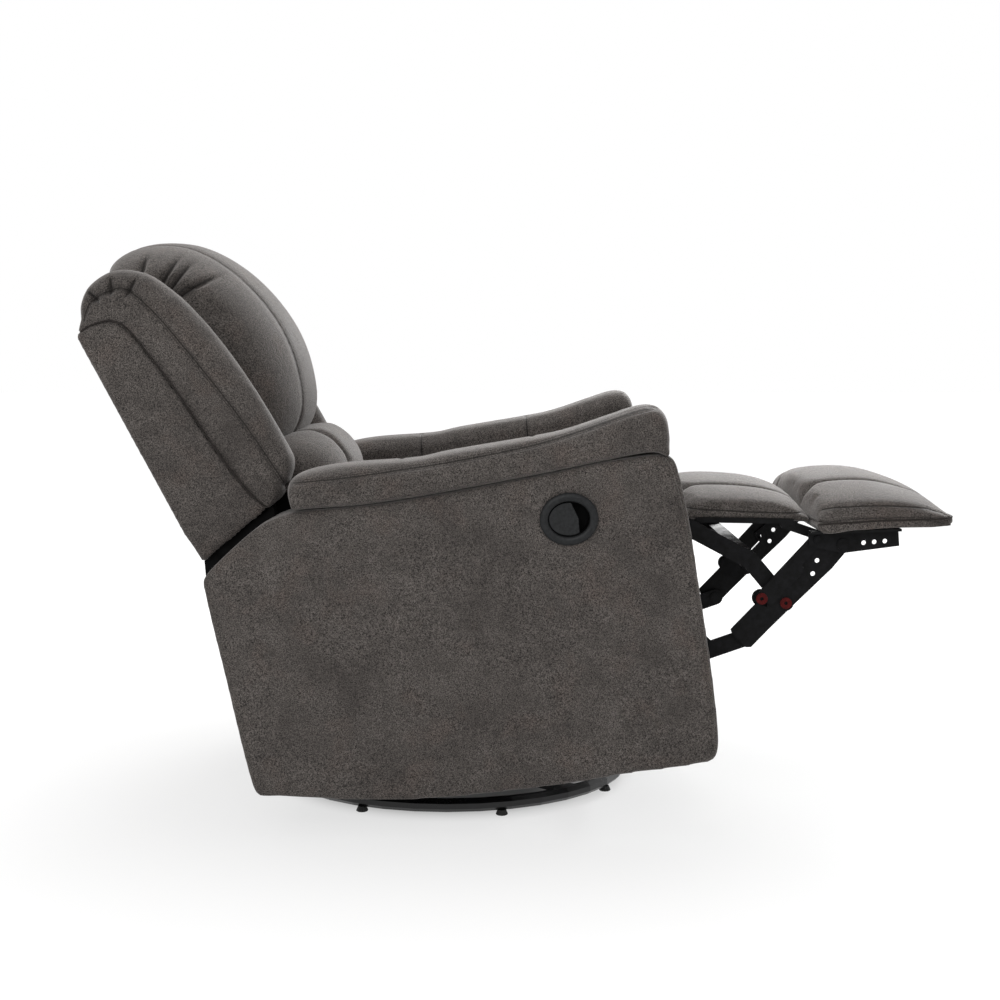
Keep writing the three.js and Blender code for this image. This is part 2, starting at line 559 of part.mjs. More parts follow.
// A rivet that is fixed in one plate and turns in the hole of another: shaft and two heads
function rivet([x, z], fromPlane, toPlane, side, headAt, head = steel.head) {
  const low = planeY(Math.min(fromPlane, toPlane)), high = planeY(Math.max(fromPlane, toPlane)) + steel.thick;
  const lowHead = headAt < 0 ? steel.headThick + seatGap : 0;
  const highHead = headAt > 0 ? steel.headThick + seatGap : 0;
  const parts = [rodY(x, z, steel.pin, low - lowHead, high + highHead, side, 10)];
  if (headAt < 0) parts.push(rodY(x, z, head, low - lowHead, low - seatGap, side, 10));
  if (headAt > 0) parts.push(rodY(x, z, head, high + seatGap, high + highHead, side, 10));
  if (Math.abs(fromPlane - toPlane) > 1) {
    const inner = planeY(Math.min(fromPlane, toPlane) + 1);
    const outer = planeY(Math.max(fromPlane, toPlane)) - steel.play;
    const touchesLow = headAt < 0 ? 0 : -steel.play;
    parts.push(rodY(x, z, steel.spacer, inner + touchesLow, outer + (headAt < 0 ? steel.play : 0), side, 10));
  }
  return parts;
}

// A point given along the line between two pivots and up from it, from an origin of its own
const alongLine = (origin, from, to) => {
  const d = new THREE.Vector2(to[0] - from[0], to[1] - from[1]).normalize();
  return ([along, up]) => [origin[0] + along * d.x - up * d.y, origin[1] + along * d.y + up * d.x];
};
// The outline of a long notched link whose far end rounds off about its pivot
function longLink(origin, from, to, line, holes) {
  const place = alongLine(origin, from, to);
  const way = Math.atan2(to[1] - from[1], to[0] - from[0]);
  const shape = smoothShape(line.lower.map(place), false);
  shape.absarc(to[0], to[1], steel.width / 2, way - Math.PI / 2, way, false);
  for (const p of line.upper.map(place)) shape.lineTo(...p);
  for (const [x, z] of holes.map(place)) {
    shape.holes.push(new THREE.Path().absarc(x, z, steel.small, 0, 2 * Math.PI, true));
  }
  return shape;
}

// Mechanism under the seat and the folding links of the footrest
function mechanism() {
  const at = pivot;
  const backEnd = at.back, crossEnd = at.cross;
  for (const [name, side] of both) {
    const shape = new THREE.Shape();
    const r = steel.width / 2 + steel.rim;
    shape.moveTo(at.drive[0], at.drive[1] - r);
    shape.absarc(at.drive[0], at.drive[1], r, -Math.PI / 2, -Math.PI / 5, false);
    shape.absarc(crossEnd[0], crossEnd[1], r, -Math.PI / 5, Math.PI / 2, false);
    shape.lineTo(backEnd[0] + 2 * r, crossEnd[1] + r);
    shape.lineTo(backEnd[0], backEnd[1] + r);
    shape.absarc(backEnd[0], backEnd[1], r, Math.PI / 2, 1.5 * Math.PI, false);
    shape.lineTo(backEnd[0] + sidePlate.height, at.drive[1] - r);
    for (const i of [0, 1, 2]) {
      const slot = new THREE.Path();
      const x = backEnd[0] + sidePlate.firstSlot + sidePlate.slotPitch * i;
      slot.absellipse(x, at.drive[1] + r, sidePlate.slotLength, sidePlate.slotHeight, 0, 2 * Math.PI, true);
      shape.holes.push(slot);
    }
    const plate = plateY(shape, planeY(2), planeY(2) + steel.thick, side);
    piece(`side_plate_${name}`, join(plate, ...rivet(backEnd, 1, 2, side, -1), ...rivet(crossEnd, 1, 2, side, -1),
      ...rivet(at.drive, 0, 2, side, -1)), 'steel');

    const hole = (p) => [...p, steel.hole];
    const flat = (points, holes, k, width = steel.width) => (
      plateY(barShape(points, width, holes), planeY(k), planeY(k) + steel.thick, side));
    piece(`drive_link_${name}`, flat([at.drive, driveBend, at.driveMain], [hole(at.drive), hole(at.driveMain)], 0), 'steel');
    const drill = (p) => rodY(...p, steel.hole, planeY(1) - overrun, planeY(1) + steel.thick + overrun, side);
    piece(`cross_link_${name}`, cut(join(flat([crossEnd, ...crossBend, at.crossMain], [], 1),
      flat([at.crossSecond, at.crossMain], [], 1)), ...[crossEnd, at.crossMain, at.crossSecond].map(drill)), 'steel');
    piece(`main_link_${name}`, join(plateY(longLink(at.crossMain, at.driveMain, at.mainBracket, mainLine, mainHoles), planeY(2),
      planeY(2) + steel.thick, side),
      ...rivet(at.driveMain, 0, 2, side, -1), ...rivet(at.crossMain, 1, 2, side, -1),
      ...rivet(at.mainBracket, 2, 4, side, 1)), 'steel');
    const apron = secondLine.lower.map((p) => alongLine(at.crossSecond, at.crossSecond, at.secondBracket)(p));
    const skirt = smoothShape([at.crossSecond, ...apron, at.secondBracket], false);
    piece(`second_link_${name}`, join(flat([at.crossSecond, at.secondBracket], [], 3, steel.slim),
      plateY(skirt, planeY(3), planeY(3) + steel.thick, side),
      ...rivet(at.crossSecond, 1, 3, side, -1), ...rivet(at.secondBracket, 3, 4, side, 1, steel.smallHead)), 'steel');
    for (const [spot, p] of [['cross', at.crossMain], ['second', at.crossSecond]]) {
      const y = p === at.crossMain ? planeY(3) - steel.play + seatGap : planeY(4) - steel.play + seatGap;
      piece(`washer_${spot}_${name}`, cut(rodY(...p, steel.head, y, y + steel.washer, side),
        rodY(...p, steel.washerBore, y - overrun, y + steel.washer + overrun, side)), 'red');
    }
  }
}

// Footrest: brackets, board and pad, and the middle pad on its bracket
const dropped = (drop, originX, originZ) => ([x, z]) => {
  const a = rad(drop);
  return [originX + x * Math.cos(a) + z * Math.sin(a), originZ - x * Math.sin(a) + z * Math.cos(a)];
};
const restCrownShare = [[0, 0.04], [0.0, 0.45], [0.03, 0.78], [0.1, 0.93], [0.24, 1], [0.42, 1], [0.58, 0.95], [0.76, 0.8],
  [0.9, 0.58], [0.98, 0.32], [1, 0.04]];
const midCrownShare = [[0, 0.04], [0.01, 0.5], [0.05, 0.82], [0.14, 0.96], [0.35, 1], [0.6, 0.97], [0.85, 0.85], [0.97, 0.6], [1, 0.3], [1, 0.04]];
function footrest() {
  const place = dropped(rest.dropDeg, restRear, rest.bottom);
  const scale = (share, length, height) => share.map(([x, z]) => [x * length, z * height]);
  const lines = channel.atShare.map((s) => s * restHalf);
  piece('footrest_pad', pad({
    base: scale([[0, 0], [0.5, 0], [1, 0]], rest.length, rest.height).map(place),
    crown: scale(restCrownShare, rest.length, rest.height).map(place),
    from: -restHalf, to: restHalf, along: 14, across: 18, edgeShare: 0.34, roundness: 2.8,
    channels: lines, depthShare: channel.depthShare, pull: 0.012,
  }), 'cover');
  const inset = rest.boardInset;
  const board = new THREE.Shape();
  const corners = [[rest.boardRear, -rest.board - seatGap], [rest.length - inset, -rest.board - seatGap],
    [rest.length - inset, -seatGap], [rest.boardRear, -seatGap]].map(place);
  board.moveTo(...corners[0]);
  for (const c of corners.slice(1)) board.lineTo(...c);
  const plank = new THREE.ExtrudeGeometry(board, { depth: 2 * (restHalf - inset), bevelEnabled: false });
  plank.rotateX(Math.PI / 2);
  plank.translate(0, restHalf - inset, 0);
  piece('footrest_board', plank, 'cover');
  const under = -rest.board - 2 * seatGap;
  for (const [name, side] of both) {
    const [gx, gz] = pivot.mainBracket, [fx, fz] = pivot.secondBracket;
    const r = steel.width / 2;
    const shape = new THREE.Shape();
    const topRear = place([fx - r - restRear, under]);
    const topFront = place([rest.bracket, under]);
    shape.moveTo(topRear[0], fz - steel.slim / 2);
    shape.lineTo(gx, gz - r);
    shape.lineTo(topFront[0], topFront[1] - rest.bracketDepth);
    shape.lineTo(topFront[0], topFront[1]);
    shape.lineTo(topRear[0], topRear[1]);
    for (const [x, z] of [pivot.mainBracket, pivot.secondBracket]) {
      shape.holes.push(new THREE.Path().absarc(x, z, steel.hole, 0, 2 * Math.PI, true));
    }
    for (const i of [0, 1, 2]) {
      const x = gx + rest.firstHole + i * rest.holePitch;
      shape.holes.push(new THREE.Path().absarc(x, gz, steel.small, 0, 2 * Math.PI, true));
    }
    const web = plateY(shape, planeY(4), planeY(4) + steel.thick, side);
    const flange = new THREE.Shape();
    const drop = place([0, under - steel.thick])[1] - place([0, under])[1];
    flange.moveTo(topRear[0], topRear[1] + drop);
    flange.lineTo(topFront[0], topFront[1] + drop);
    flange.lineTo(...topFront);
    flange.lineTo(...topRear);
    const shelf = plateY(flange, planeY(4), planeY(4) + steel.width, side);
    piece(`footrest_bracket_${name}`, join(web, shelf), 'steel');
  }

  const midPlace = dropped(rest.midDropDeg, midRear, rest.midBottom);
  const midLines = channel.atShare.map((s) => s * midHalf);
  piece('middle_pad', pad({
    base: scale([[0, 0], [0.5, 0], [1, 0]], rest.midLength, rest.midHeight).map(midPlace),
    crown: scale(midCrownShare, rest.midLength, rest.midHeight).map(midPlace),
    from: -midHalf, to: midHalf, along: 12, across: 14, edgeShare: 0.4, roundness: 2.8,
    channels: midLines, depthShare: channel.depthShare, pull: 0.01,
  }), 'cover');
  const spread2 = planeY(1) - seatGap, half = spreader.side / 2, [tubeX, tubeZ] = spreader.at;
  piece('cross_tube', cut(block(tubeX - half, -spread2, tubeZ - half, spreader.side, 2 * spread2, spreader.side),
    block(tubeX - half + spreader.wall, -spread2 - overrun, tubeZ - half + spreader.wall,
      spreader.side - 2 * spreader.wall, 2 * (spread2 + overrun), spreader.side - 2 * spreader.wall)), 'steel');
  const legNear = planeY(0) - steel.play - steel.thick - steel.headThick - seatGap;
  const parts = [];
  for (const [, side] of both) {
    const slab = new THREE.Shape();
    const gap = -seatGap;
    const corners = [[rest.shelfRear, gap], [rest.shelfFront, gap], [rest.shelfFront, gap - rest.midSlab],
      [rest.shelfRear, gap - rest.midSlab]].map(midPlace);
    slab.moveTo(...corners[0]);
    for (const c of corners.slice(1)) slab.lineTo(...c);
    parts.push(plateY(slab, legNear, legNear + steel.thick, side));
    const shelf = smoothShape([[rest.shelfFront, gap], [rest.shelfFront, gap - steel.thick],
      [rest.shelfRear, gap - steel.thick], [rest.shelfRear, gap]].map(midPlace), false);
    parts.push(plateY(shelf, legNear - steel.width, legNear + steel.thick, side));
    const end = midPlace([rest.legAhead, gap - rest.leg / 2]);
    parts.push(plateY(barShape([end, pivot.mainBracket], rest.leg), legNear, legNear + steel.thick, side));
    parts.push(rodY(...pivot.mainBracket, steel.pin, legNear + steel.thick / 2, planeY(2) - seatGap, side, 12));
  }
  const strap = smoothShape([[rest.strapRear, -seatGap], [rest.strapFront, -seatGap],
    [rest.strapFront, -seatGap - steel.thick], [rest.strapRear, -seatGap - steel.thick]].map(midPlace), false);
  parts.push(plateY(strap, -legNear, legNear, 1));
  piece('middle_pad_bracket', join(...parts), 'steel');
}

// Seat: a rail frame with a slatted deck, and its cushion
const seatCrownShare = [[0, 0.1], [0.004, 0.3], [0.03, 0.42], [0.1, 0.5], [0.25, 0.66], [0.45, 0.86], [0.65, 0.97], [0.82, 1],
  [0.93, 0.93], [0.985, 0.72], [1, 0.42], [0.985, 0.14]];
function seatPieces() {
  const top = seat.bottom - seatGap;
  const near = planeY(3) + seatGap - steel.play, width = seat.railWidth;
  const rear = seat.rear - seat.railWidth, front = seat.rear + seat.length - 2 * seat.railWidth;
  const parts = [];
  for (const [, side] of both) {
    const y = side > 0 ? near : -near - width;
    parts.push(block(rear, y, baseRail.z + baseRail.height + steel.thick, front - rear, width,
      top - baseRail.z - baseRail.height - steel.thick));
  }
  for (const x of [rear, front - width]) {
    parts.push(block(x, -near - overrun, top - seat.slat, width, 2 * (near + overrun), seat.slat));
  }
  const slats = 5;
  for (let i = 0; i < slats; i += 1) {
    const y = (i - (slats - 1) / 2) * seat.slatPitch;
    parts.push(block(rear + width / 2, y - seat.slatWidth / 2, top - seat.slat / 2, front - rear - width, seat.slatWidth,
      seat.slat / 2));
  }
  piece('seat_frame', join(...parts), 'wood');
  piece('seat_cushion', pad({
    base: spread([[0.01, 0], [0.5, 0], [0.97, 0]], seat.rear, seat.bottom, seat.length, seat.height),
    crown: spread(seatCrownShare, seat.rear, seat.bottom, seat.length, seat.height),
    from: -seatHalf, to: seatHalf, along: 16, across: 16, edgeShare: 0.55, roundness: 3,
    channels: channel.atShare.map((s) => s * seatHalf), depthShare: channel.depthShare / 2, pull: 0.008,
  }), 'cover');
}

// Back: shell, frame, wings and the two pillows, drawn in the back's own frame
const onBack = ([u, w]) => {
  const a = rad(back.leanDeg);
  return [pivot.back[0] - u * Math.sin(a) + w * Math.cos(a), pivot.back[1] + u * Math.cos(a) + w * Math.sin(a)];
};
const seamShare = [[0.218, 0.02], [0.3, -0.1], [0.46, -0.2], [0.68, -0.28], [0.85, -0.375], [0.94, -0.44], [0.985, -0.56], [1, -0.77]];
const shellRearShare = [[0.995, -0.97], [0.98, -1], [0.27, -1], [0.21, -0.975], [0.16, -0.965]];
const onShell = (share) => share.map(([u, w]) => [u * back.top, -w * back.rear]);
function backPieces() {
  const seam = onShell(seamShare);
  const seamLine = new THREE.SplineCurve(seam.map(([u, w]) => new THREE.Vector2(u, w))).getSpacedPoints(12);
  const outer = [...seamLine.map((p) => [p.x, p.y]), ...onShell(shellRearShare)].map(onBack);
  const shape = smoothShape(outer, false);
  const bodyShell = new THREE.ExtrudeGeometry(shape, {
    depth: 2 * (backHalf - arm.edge), bevelEnabled: true, bevelSize: arm.edge, bevelThickness: arm.edge,
    bevelOffset: -arm.edge, bevelSegments: 2,
  });
  bodyShell.rotateX(Math.PI / 2);
  bodyShell.translate(0, backHalf - arm.edge, 0);
  const hollow = smoothShape([[back.hollowLow, back.rear + back.wall], [back.top - back.wall, back.rear + back.wall],
    [back.top - back.wall, back.hollowFront], [back.hollowLow, back.hollowFront]].map(onBack), false);
  const inside = new THREE.ExtrudeGeometry(hollow, { depth: 2 * (backHalf - back.wall), bevelEnabled: false });
  inside.rotateX(Math.PI / 2);
  inside.translate(0, backHalf - back.wall, 0);
  piece('back_shell', cut(bodyShell, inside), 'cover');

  // Frame of two stiles and three rails, with the hinge brackets at its foot
  const parts = [];
  const bar = (u0, u1, near, far, side) => {
    const s = smoothShape([[u0, back.frameRear], [u1, back.frameRear], [u1, back.frameFront], [u0, back.frameFront]].map(onBack), false);
    return plateY(s, near, far, side);
  };
  for (const [, side] of both) {
    parts.push(bar(back.frameLow, back.frameTop, frameHalf - back.stile, frameHalf, side));
    const inner = planeY(1);
    const r = steel.width / 2, lip = back.frameFront - steel.pin;
    const bracket = smoothShape([[-r, -r], [-r, r], [r / 2, r], [lumbarPad.low - steel.pin, lip],
      [back.frameLow + 2 * back.stile, lip], [back.frameLow + 2 * back.stile, back.frameRear + steel.pin],
      [back.frameLow - 1.5 * r, back.frameRear + steel.pin], [1.5 * r, lip - 1.5 * r]].map(onBack), false);
    parts.push(cut(plateY(bracket, inner, inner + steel.thick, side),
      rodY(...pivot.back, steel.hole, inner - overrun, inner + steel.thick + overrun, side)));
  }
  for (const u of [back.frameLow, (back.frameLow + back.frameTop) / 2, back.frameTop - back.stile]) {
    const s = smoothShape([[u, back.frameRear], [u + back.stile, back.frameRear], [u + back.stile, back.frameFront],
      [u, back.frameFront]].map(onBack), false);
    const rail = new THREE.ExtrudeGeometry(s, { depth: 2 * frameHalf - back.stile, bevelEnabled: false });
    rail.rotateX(Math.PI / 2);
    rail.translate(0, frameHalf - back.stile / 2, 0);
    parts.push(rail);
  }
  piece('back_frame', join(...parts), 'wood');

  const front = back.frameFront + seatGap;
  for (const [name, side] of both) {
    const near = wingInside, far = backHalf - wing.edgeGap;
    piece(`back_wing_${name}`, pad({
      base: seam.map(([u, w]) => onBack([u + 2 * seatGap, w + 2 * seatGap])),
      crown: wingCrownShare.map(([u, w]) => onBack([back.top * seamShare[0][0] + u * wing.height, front + w * wing.depth])),
      from: side > 0 ? near : -far, to: side > 0 ? far : -near, along: 22, across: 10, edgeShare: 0.62, roundness: 2.4,
    }), 'cover');
  }
  const lines = channel.atShare.map((s) => s * headHalf);
  piece('head_pillow', pad({
    base: [[0, 0], [0.4, 0], [0.8, 0]].map(([u, w]) => onBack([headPad.low + u * headPad.height, front + w])),
    crown: headCrownShare.map(([u, w]) => onBack([headPad.low + u * headPad.height, front + w * headPad.depth])),
    from: -headHalf, to: headHalf, along: 20, across: 16, edgeShare: 0.5, roundness: 2.6,
    channels: lines, depthShare: channel.depthShare / 2, pull: 0.02,
  }), 'cover');
  piece('lumbar_pillow', pad({
    base: [[0, 0], [0.5, 0], [1, 0]].map(([u, w]) => onBack([lumbarPad.low + u * lumbarPad.height, front + w])),
    crown: lumbarCrownShare.map(([u, w]) => onBack([lumbarPad.low + u * lumbarPad.height, front + w * lumbarPad.depth])),
    from: -lumbarHalf, to: lumbarHalf, along: 13, across: 14, edgeShare: 0.66, roundness: 3,
    channels: channel.atShare.map((s) => s * lumbarHalf), depthShare: channel.depthShare / 2, pull: 0.01,
  }), 'cover');
}
const wingCrownShare = [[0, 0.3], [0.062, 0.53], [0.11, 0.615], [0.196, 0.635], [0.32, 0.62], [0.454, 0.597], [0.6, 0.548],
  [0.77, 0.454], [0.837, 0.39], [0.914, 0.298], [0.96, 0.182], [0.984, 0.072], [0.99, -0.05], [0.976, -0.204], [0.935, -0.314], [0.886, -0.358]];
const headCrownShare = [[0, 0.05], [0, 0.62], [0.04, 0.84], [0.12, 0.92], [0.257, 0.987], [0.4, 1], [0.555, 0.974], [0.696, 0.896],
  [0.818, 0.774], [0.902, 0.62], [0.95, 0.476], [0.988, 0.312], [1, 0.11], [0.99, -0.09], [0.93, -0.1]];
const lumbarCrownShare = [[0, 0.05], [0.0, 0.6], [0.06, 0.86], [0.2, 0.97], [0.36, 1], [0.54, 0.985], [0.72, 0.93], [0.88, 0.8], [0.985, 0.6], [1, 0.05]];

floorRing();
swivelBolt();
gliderBase();
carriage();
arms();
releaseHandle();
armRails();
mechanism();
footrest();
seatPieces();
backPieces();

// The origin is on the floor under the middle of the whole chair
recliner.updateMatrixWorld(true);
const middle = new THREE.Box3().setFromObject(recliner, true).getCenter(new THREE.Vector3());
recliner.position.x = -middle.x;

export default recliner;
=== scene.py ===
import json
import math
import bmesh
import bpy
import numpy as np
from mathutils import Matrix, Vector


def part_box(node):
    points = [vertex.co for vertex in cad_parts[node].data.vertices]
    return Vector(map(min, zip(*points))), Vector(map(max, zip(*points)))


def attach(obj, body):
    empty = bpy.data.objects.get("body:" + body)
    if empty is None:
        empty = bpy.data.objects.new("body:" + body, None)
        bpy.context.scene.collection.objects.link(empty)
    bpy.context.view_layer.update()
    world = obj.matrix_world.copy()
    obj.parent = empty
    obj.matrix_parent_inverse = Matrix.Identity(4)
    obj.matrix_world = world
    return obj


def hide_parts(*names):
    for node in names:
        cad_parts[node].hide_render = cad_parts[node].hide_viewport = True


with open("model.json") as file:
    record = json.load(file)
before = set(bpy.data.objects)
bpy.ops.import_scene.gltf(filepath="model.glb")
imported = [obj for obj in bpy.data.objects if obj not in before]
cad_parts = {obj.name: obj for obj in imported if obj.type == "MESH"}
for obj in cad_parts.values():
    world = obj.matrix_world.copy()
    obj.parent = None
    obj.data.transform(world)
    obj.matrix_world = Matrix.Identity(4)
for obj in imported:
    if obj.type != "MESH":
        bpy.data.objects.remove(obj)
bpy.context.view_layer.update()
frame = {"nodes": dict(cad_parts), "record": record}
scene = bpy.context.scene
print("frame loaded")

# Places are worked out in millimetres in the level frame of the chair body: x forward from the
# axis of the floor ring, y to the sitter's left, z up. The body leans back from it by tip["deg"].
# The back leans further by its own angle, about its hinge.
ringLow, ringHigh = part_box("base_ring")
tip = {"deg": 4.5, "axisX": (ringLow.x + ringHigh.x) / 2}
tipCos = math.cos(math.radians(tip["deg"]))
tipSin = math.sin(math.radians(tip["deg"]))
back = {"hinge": (-190.0, 420.0), "leanDeg": 23.2}


def toWorld(points):  # level frame in mm to the part's own frame in m: turned by the tip, moved to the ring
    p = np.asarray(points, float) / 1000
    x = tip["axisX"] + p[..., 0] * tipCos - p[..., 2] * tipSin
    return np.stack([x, p[..., 1], p[..., 0] * tipSin + p[..., 2] * tipCos], -1)


def toLevel(points):  # the part's own frame in m to the level frame in mm
    p = np.asarray(points, float)
    x = (p[..., 0] - tip["axisX"]) * tipCos + p[..., 2] * tipSin
    z = p[..., 2] * tipCos - (p[..., 0] - tip["axisX"]) * tipSin
    return np.stack([x, p[..., 1], z], -1) * 1000


def onBack(points):  # (up along the back, forward from it) to level x and z
    a = math.radians(back["leanDeg"])
    p = np.asarray(points, float)
    x = back["hinge"][0] - p[..., 0] * math.sin(a) + p[..., 1] * math.cos(a)
    z = back["hinge"][1] + p[..., 0] * math.cos(a) + p[..., 1] * math.sin(a)
    return np.stack([x, z], -1)


def evenSteps(curve, count):  # the same line at equal steps of its length
    steps = np.linalg.norm(np.diff(curve, axis=0), axis=1)
    run = np.concatenate([[0], np.cumsum(steps)])
    at = np.linspace(0, run[-1], count)
    return np.stack([np.interp(at, run, curve[:, i]) for i in range(curve.shape[1])], -1)


def smoothLine(points, count):  # Catmull-Rom curve through the points, at equal steps
    p = np.asarray(points, float)
    p = np.vstack([2 * p[0] - p[1], p, 2 * p[-1] - p[-2]])
    t = np.linspace(0, 1, 16, endpoint=False)[None, :, None]
    a, b, c, d = (p[i:len(p) - 3 + i, None] for i in range(4))
    curve = 0.5 * (2 * b + (c - a) * t + (2 * a - 5 * b + 4 * c - d) * t ** 2
                   + (3 * b - a - 3 * c + d) * t ** 3)
    return evenSteps(np.vstack([curve.reshape(-1, p.shape[1]), p[-2:-1]]), count)


def lineDistance(points, line):  # signed distance to a line, and the length along it
    step = line[1:] - line[:-1]
    size = np.maximum(np.linalg.norm(step, axis=1), 1e-9)
    start = np.concatenate([[0], np.cumsum(size)[:-1]])
    rel = points[:, None] - line[None, :-1]
    t = np.clip((rel * step).sum(-1) / size ** 2, 0, 1)
    gap = np.linalg.norm(rel - t[..., None] * step, axis=-1)
    best = gap.argmin(1)
    row = np.arange(len(points))
    side = np.sign(step[best, 0] * rel[row, best, 1] - step[best, 1] * rel[row, best, 0])
    return gap[row, best] * np.where(side == 0, 1, side), start[best] + t[row, best] * size[best]


def smoothStep(low, high, value):  # 0 up to low, 1 from high, three squares less two cubes between
    t = np.clip((value - low) / (high - low), 0, 1)
    return t * t * (3 - 2 * t)


noise = {"sines": 7, "shortest": 0.7, "longest": 1.5, "share": 0.25}


def waves(points, size, seed):  # a sum of sines of random directions and lengths, about -1 to 1
    rng = np.random.default_rng(seed)
    total = np.zeros(len(points))
    for _ in range(noise["sines"]):
        way = rng.normal(size=points.shape[1])
        way /= np.linalg.norm(way)
        length = size * rng.uniform(noise["shortest"], noise["longest"])
        total += np.sin(points @ way * 2 * np.pi / length + rng.uniform(0, 6.28))
    return total * noise["share"]


def sideName(side):
    return "Left" if side > 0 else "Right"


# Meshes. mergeReach is in m
mergeReach = {"made": 1e-6, "fromCad": 1e-5}


def meshFromArrays(name, points, faces):
    mesh = bpy.data.meshes.new(name)
    mesh.from_pydata(points.tolist(), [], faces)
    mesh.validate()
    mesh.update()
    piece = bpy.data.objects.new(name, mesh)
    scene.collection.objects.link(piece)
    return piece


def shaded(piece, smooth):
    piece.data.polygons.foreach_set("use_smooth", np.full(len(piece.data.polygons), smooth))
    return piece


def merged(piece, reach, turnedOut):  # corners closer than reach in m made one, faces turned out if asked
    bm = bmesh.new()
    bm.from_mesh(piece.data)
    bmesh.ops.remove_doubles(bm, verts=bm.verts, dist=reach)
    if turnedOut:
        bmesh.ops.recalc_face_normals(bm, faces=bm.faces)
    bm.to_mesh(piece.data)
    bm.free()
    return piece


def gridPiece(name, grid, capEnds=True):  # rows of closed loops, in level mm, joined to a closed skin
    rows, around = grid.shape[:2]
    i = np.arange(rows - 1)[:, None] * around
    j = np.arange(around)[None, :]
    nextJ = (j + 1) % around
    quads = np.stack([i + j, i + nextJ, i + around + nextJ, i + around + j], -1).reshape(-1, 4).tolist()
    if capEnds:
        quads.append(list(range(around))[::-1])
        quads.append(list(range((rows - 1) * around, rows * around)))
    piece = meshFromArrays(name, toWorld(grid.reshape(-1, 3)), quads)
    return shaded(merged(piece, mergeReach["made"], True), True)


def acrossRows(loop, places):  # a loop in x and z, set at each y in places
    loop = np.asarray(loop, float)
    return np.array([np.stack([loop[:, 0], np.full(len(loop), y), loop[:, 1]], -1) for y in places])


def readPoints(piece):
    co = np.zeros(len(piece.data.vertices) * 3)
    piece.data.vertices.foreach_get("co", co)
    return co.reshape(-1, 3)


def readNormals(piece):
    no = np.zeros(len(piece.data.vertices) * 3, np.float32)
    piece.data.vertex_normals.foreach_get("vector", no)
    return no.reshape(-1, 3).astype(float)


def writePoints(piece, points):
    piece.data.vertices.foreach_set("co", np.ascontiguousarray(points, np.float64).ravel())
    piece.data.update()


def applied(piece, modifierType, **settings):  # one modifier, applied at once
    mod = piece.modifiers.new("work", modifierType)
    for key, value in settings.items():
        setattr(mod, key, value)
    evaluated = piece.evaluated_get(bpy.context.evaluated_depsgraph_get())
    mesh = bpy.data.meshes.new_from_object(evaluated)
    piece.modifiers.clear()
    old = piece.data
    piece.data = mesh
    bpy.data.meshes.remove(old)
    return shaded(piece, True)


def copyOfNode(node, name):  # a merged copy of a CAD node's mesh
    piece = bpy.data.objects.new(name, frame["nodes"][node].data.copy())
    piece.data.materials.clear()
    scene.collection.objects.link(piece)
    return merged(piece, mergeReach["fromCad"], False)


def remeshed(piece, voxel):  # the same shape in even squares, voxel m wide
    return applied(piece, "REMESH", mode="VOXEL", voxel_size=voxel)


def relaxed(piece, rounds):  # each corner moved halfway to the middle of its neighbours, rounds times
    return applied(piece, "SMOOTH", iterations=rounds, factor=0.5)


def finePiece(piece):
    return applied(piece, "SUBSURF", levels=1)


# steep is the share of a step along y from which a path counts as running along y
cord = {"sides": 10, "endShare": 0.35, "steep": 0.9}


# A round cord along a path in level mm: a circle of radius mm in the plane across the path, smaller
# at both ends. The circle starts sideways to y, or to a slant where the path itself runs along y.
def tubePiece(name, path, radius, sides=cord["sides"]):
    tangent = np.gradient(path, axis=0)
    tangent /= np.linalg.norm(tangent, axis=1)[:, None]
    alongY = abs(tangent[:, 1]).max() >= cord["steep"]
    up = np.array([0.3, 0.1, 0.95] if alongY else [0.0, 1.0, 0.0])
    sideways = np.cross(tangent, up)
    sideways /= np.linalg.norm(sideways, axis=1)[:, None]
    other = np.cross(tangent, sideways)
    turn = np.linspace(0, 2 * np.pi, sides, endpoint=False)[None, :, None]
    ends = np.full(len(path), radius)
    ends[[0, -1]] *= cord["endShare"]
    ring = np.cos(turn) * sideways[:, None] + np.sin(turn) * other[:, None]
    return gridPiece(name, path[:, None] + ring * ends[:, None, None])


# Seams and stitches are stored on the mesh as a distance in mm and a length along the line,
# and the cover's material draws them. Pleat folds stored with the seams get a dark line of painted shade.
# far marks a point that no line comes near.
far = 90.0


def storeLines(piece, seamsAndFoldShades=(), stitches=()):
    level = toLevel(readPoints(piece))
    for name, lines in (("seam", seamsAndFoldShades), ("stitch", stitches)):
        gap = np.full(len(level), far)
        run = np.zeros(len(level))
        for line in lines:
            d, s = line(level)
            closer = np.abs(d) < np.abs(gap)
            gap = np.where(closer, d, gap)
            run = np.where(closer, s, run)
        for part, values in (("Gap", gap), ("Run", run)):
            attribute = piece.data.attributes.new(name + part, "FLOAT", "POINT")
            attribute.data.foreach_set("value", values.astype(np.float32))
    return piece


def sideLine(points, side, limit, count=60):  # drawn past y of limit on one side, seen along y
    line = smoothLine(points, count)

    def measure(level):
        d, s = lineDistance(level[:, [0, 2]], line)
        return np.where(level[:, 1] * side > limit, d, far), s
    return measure


def lengthLine(y, test=None):  # runs lengthwise at one y, over the face that test picks
    def measure(level):
        on = np.ones(len(level), bool) if test is None else test(level)
        return np.where(on, level[:, 1] - y, far), level[:, 0] + level[:, 2]
    return measure


def pressed(piece, lines, depth, width, taper=None):
    # A groove in along the normals: depth mm times a bell curve of the distance, width mm wide
    points = readPoints(piece)
    level = toLevel(points)
    push = np.zeros(len(points))
    for line in lines:
        d, s = line(level)
        amount = np.exp(-(d / width) ** 2)
        if taper is not None:
            amount = amount * taper(s)
        push = np.maximum(push, amount)
    writePoints(piece, points - readNormals(piece) * (push * depth / 1000)[:, None])
    return piece


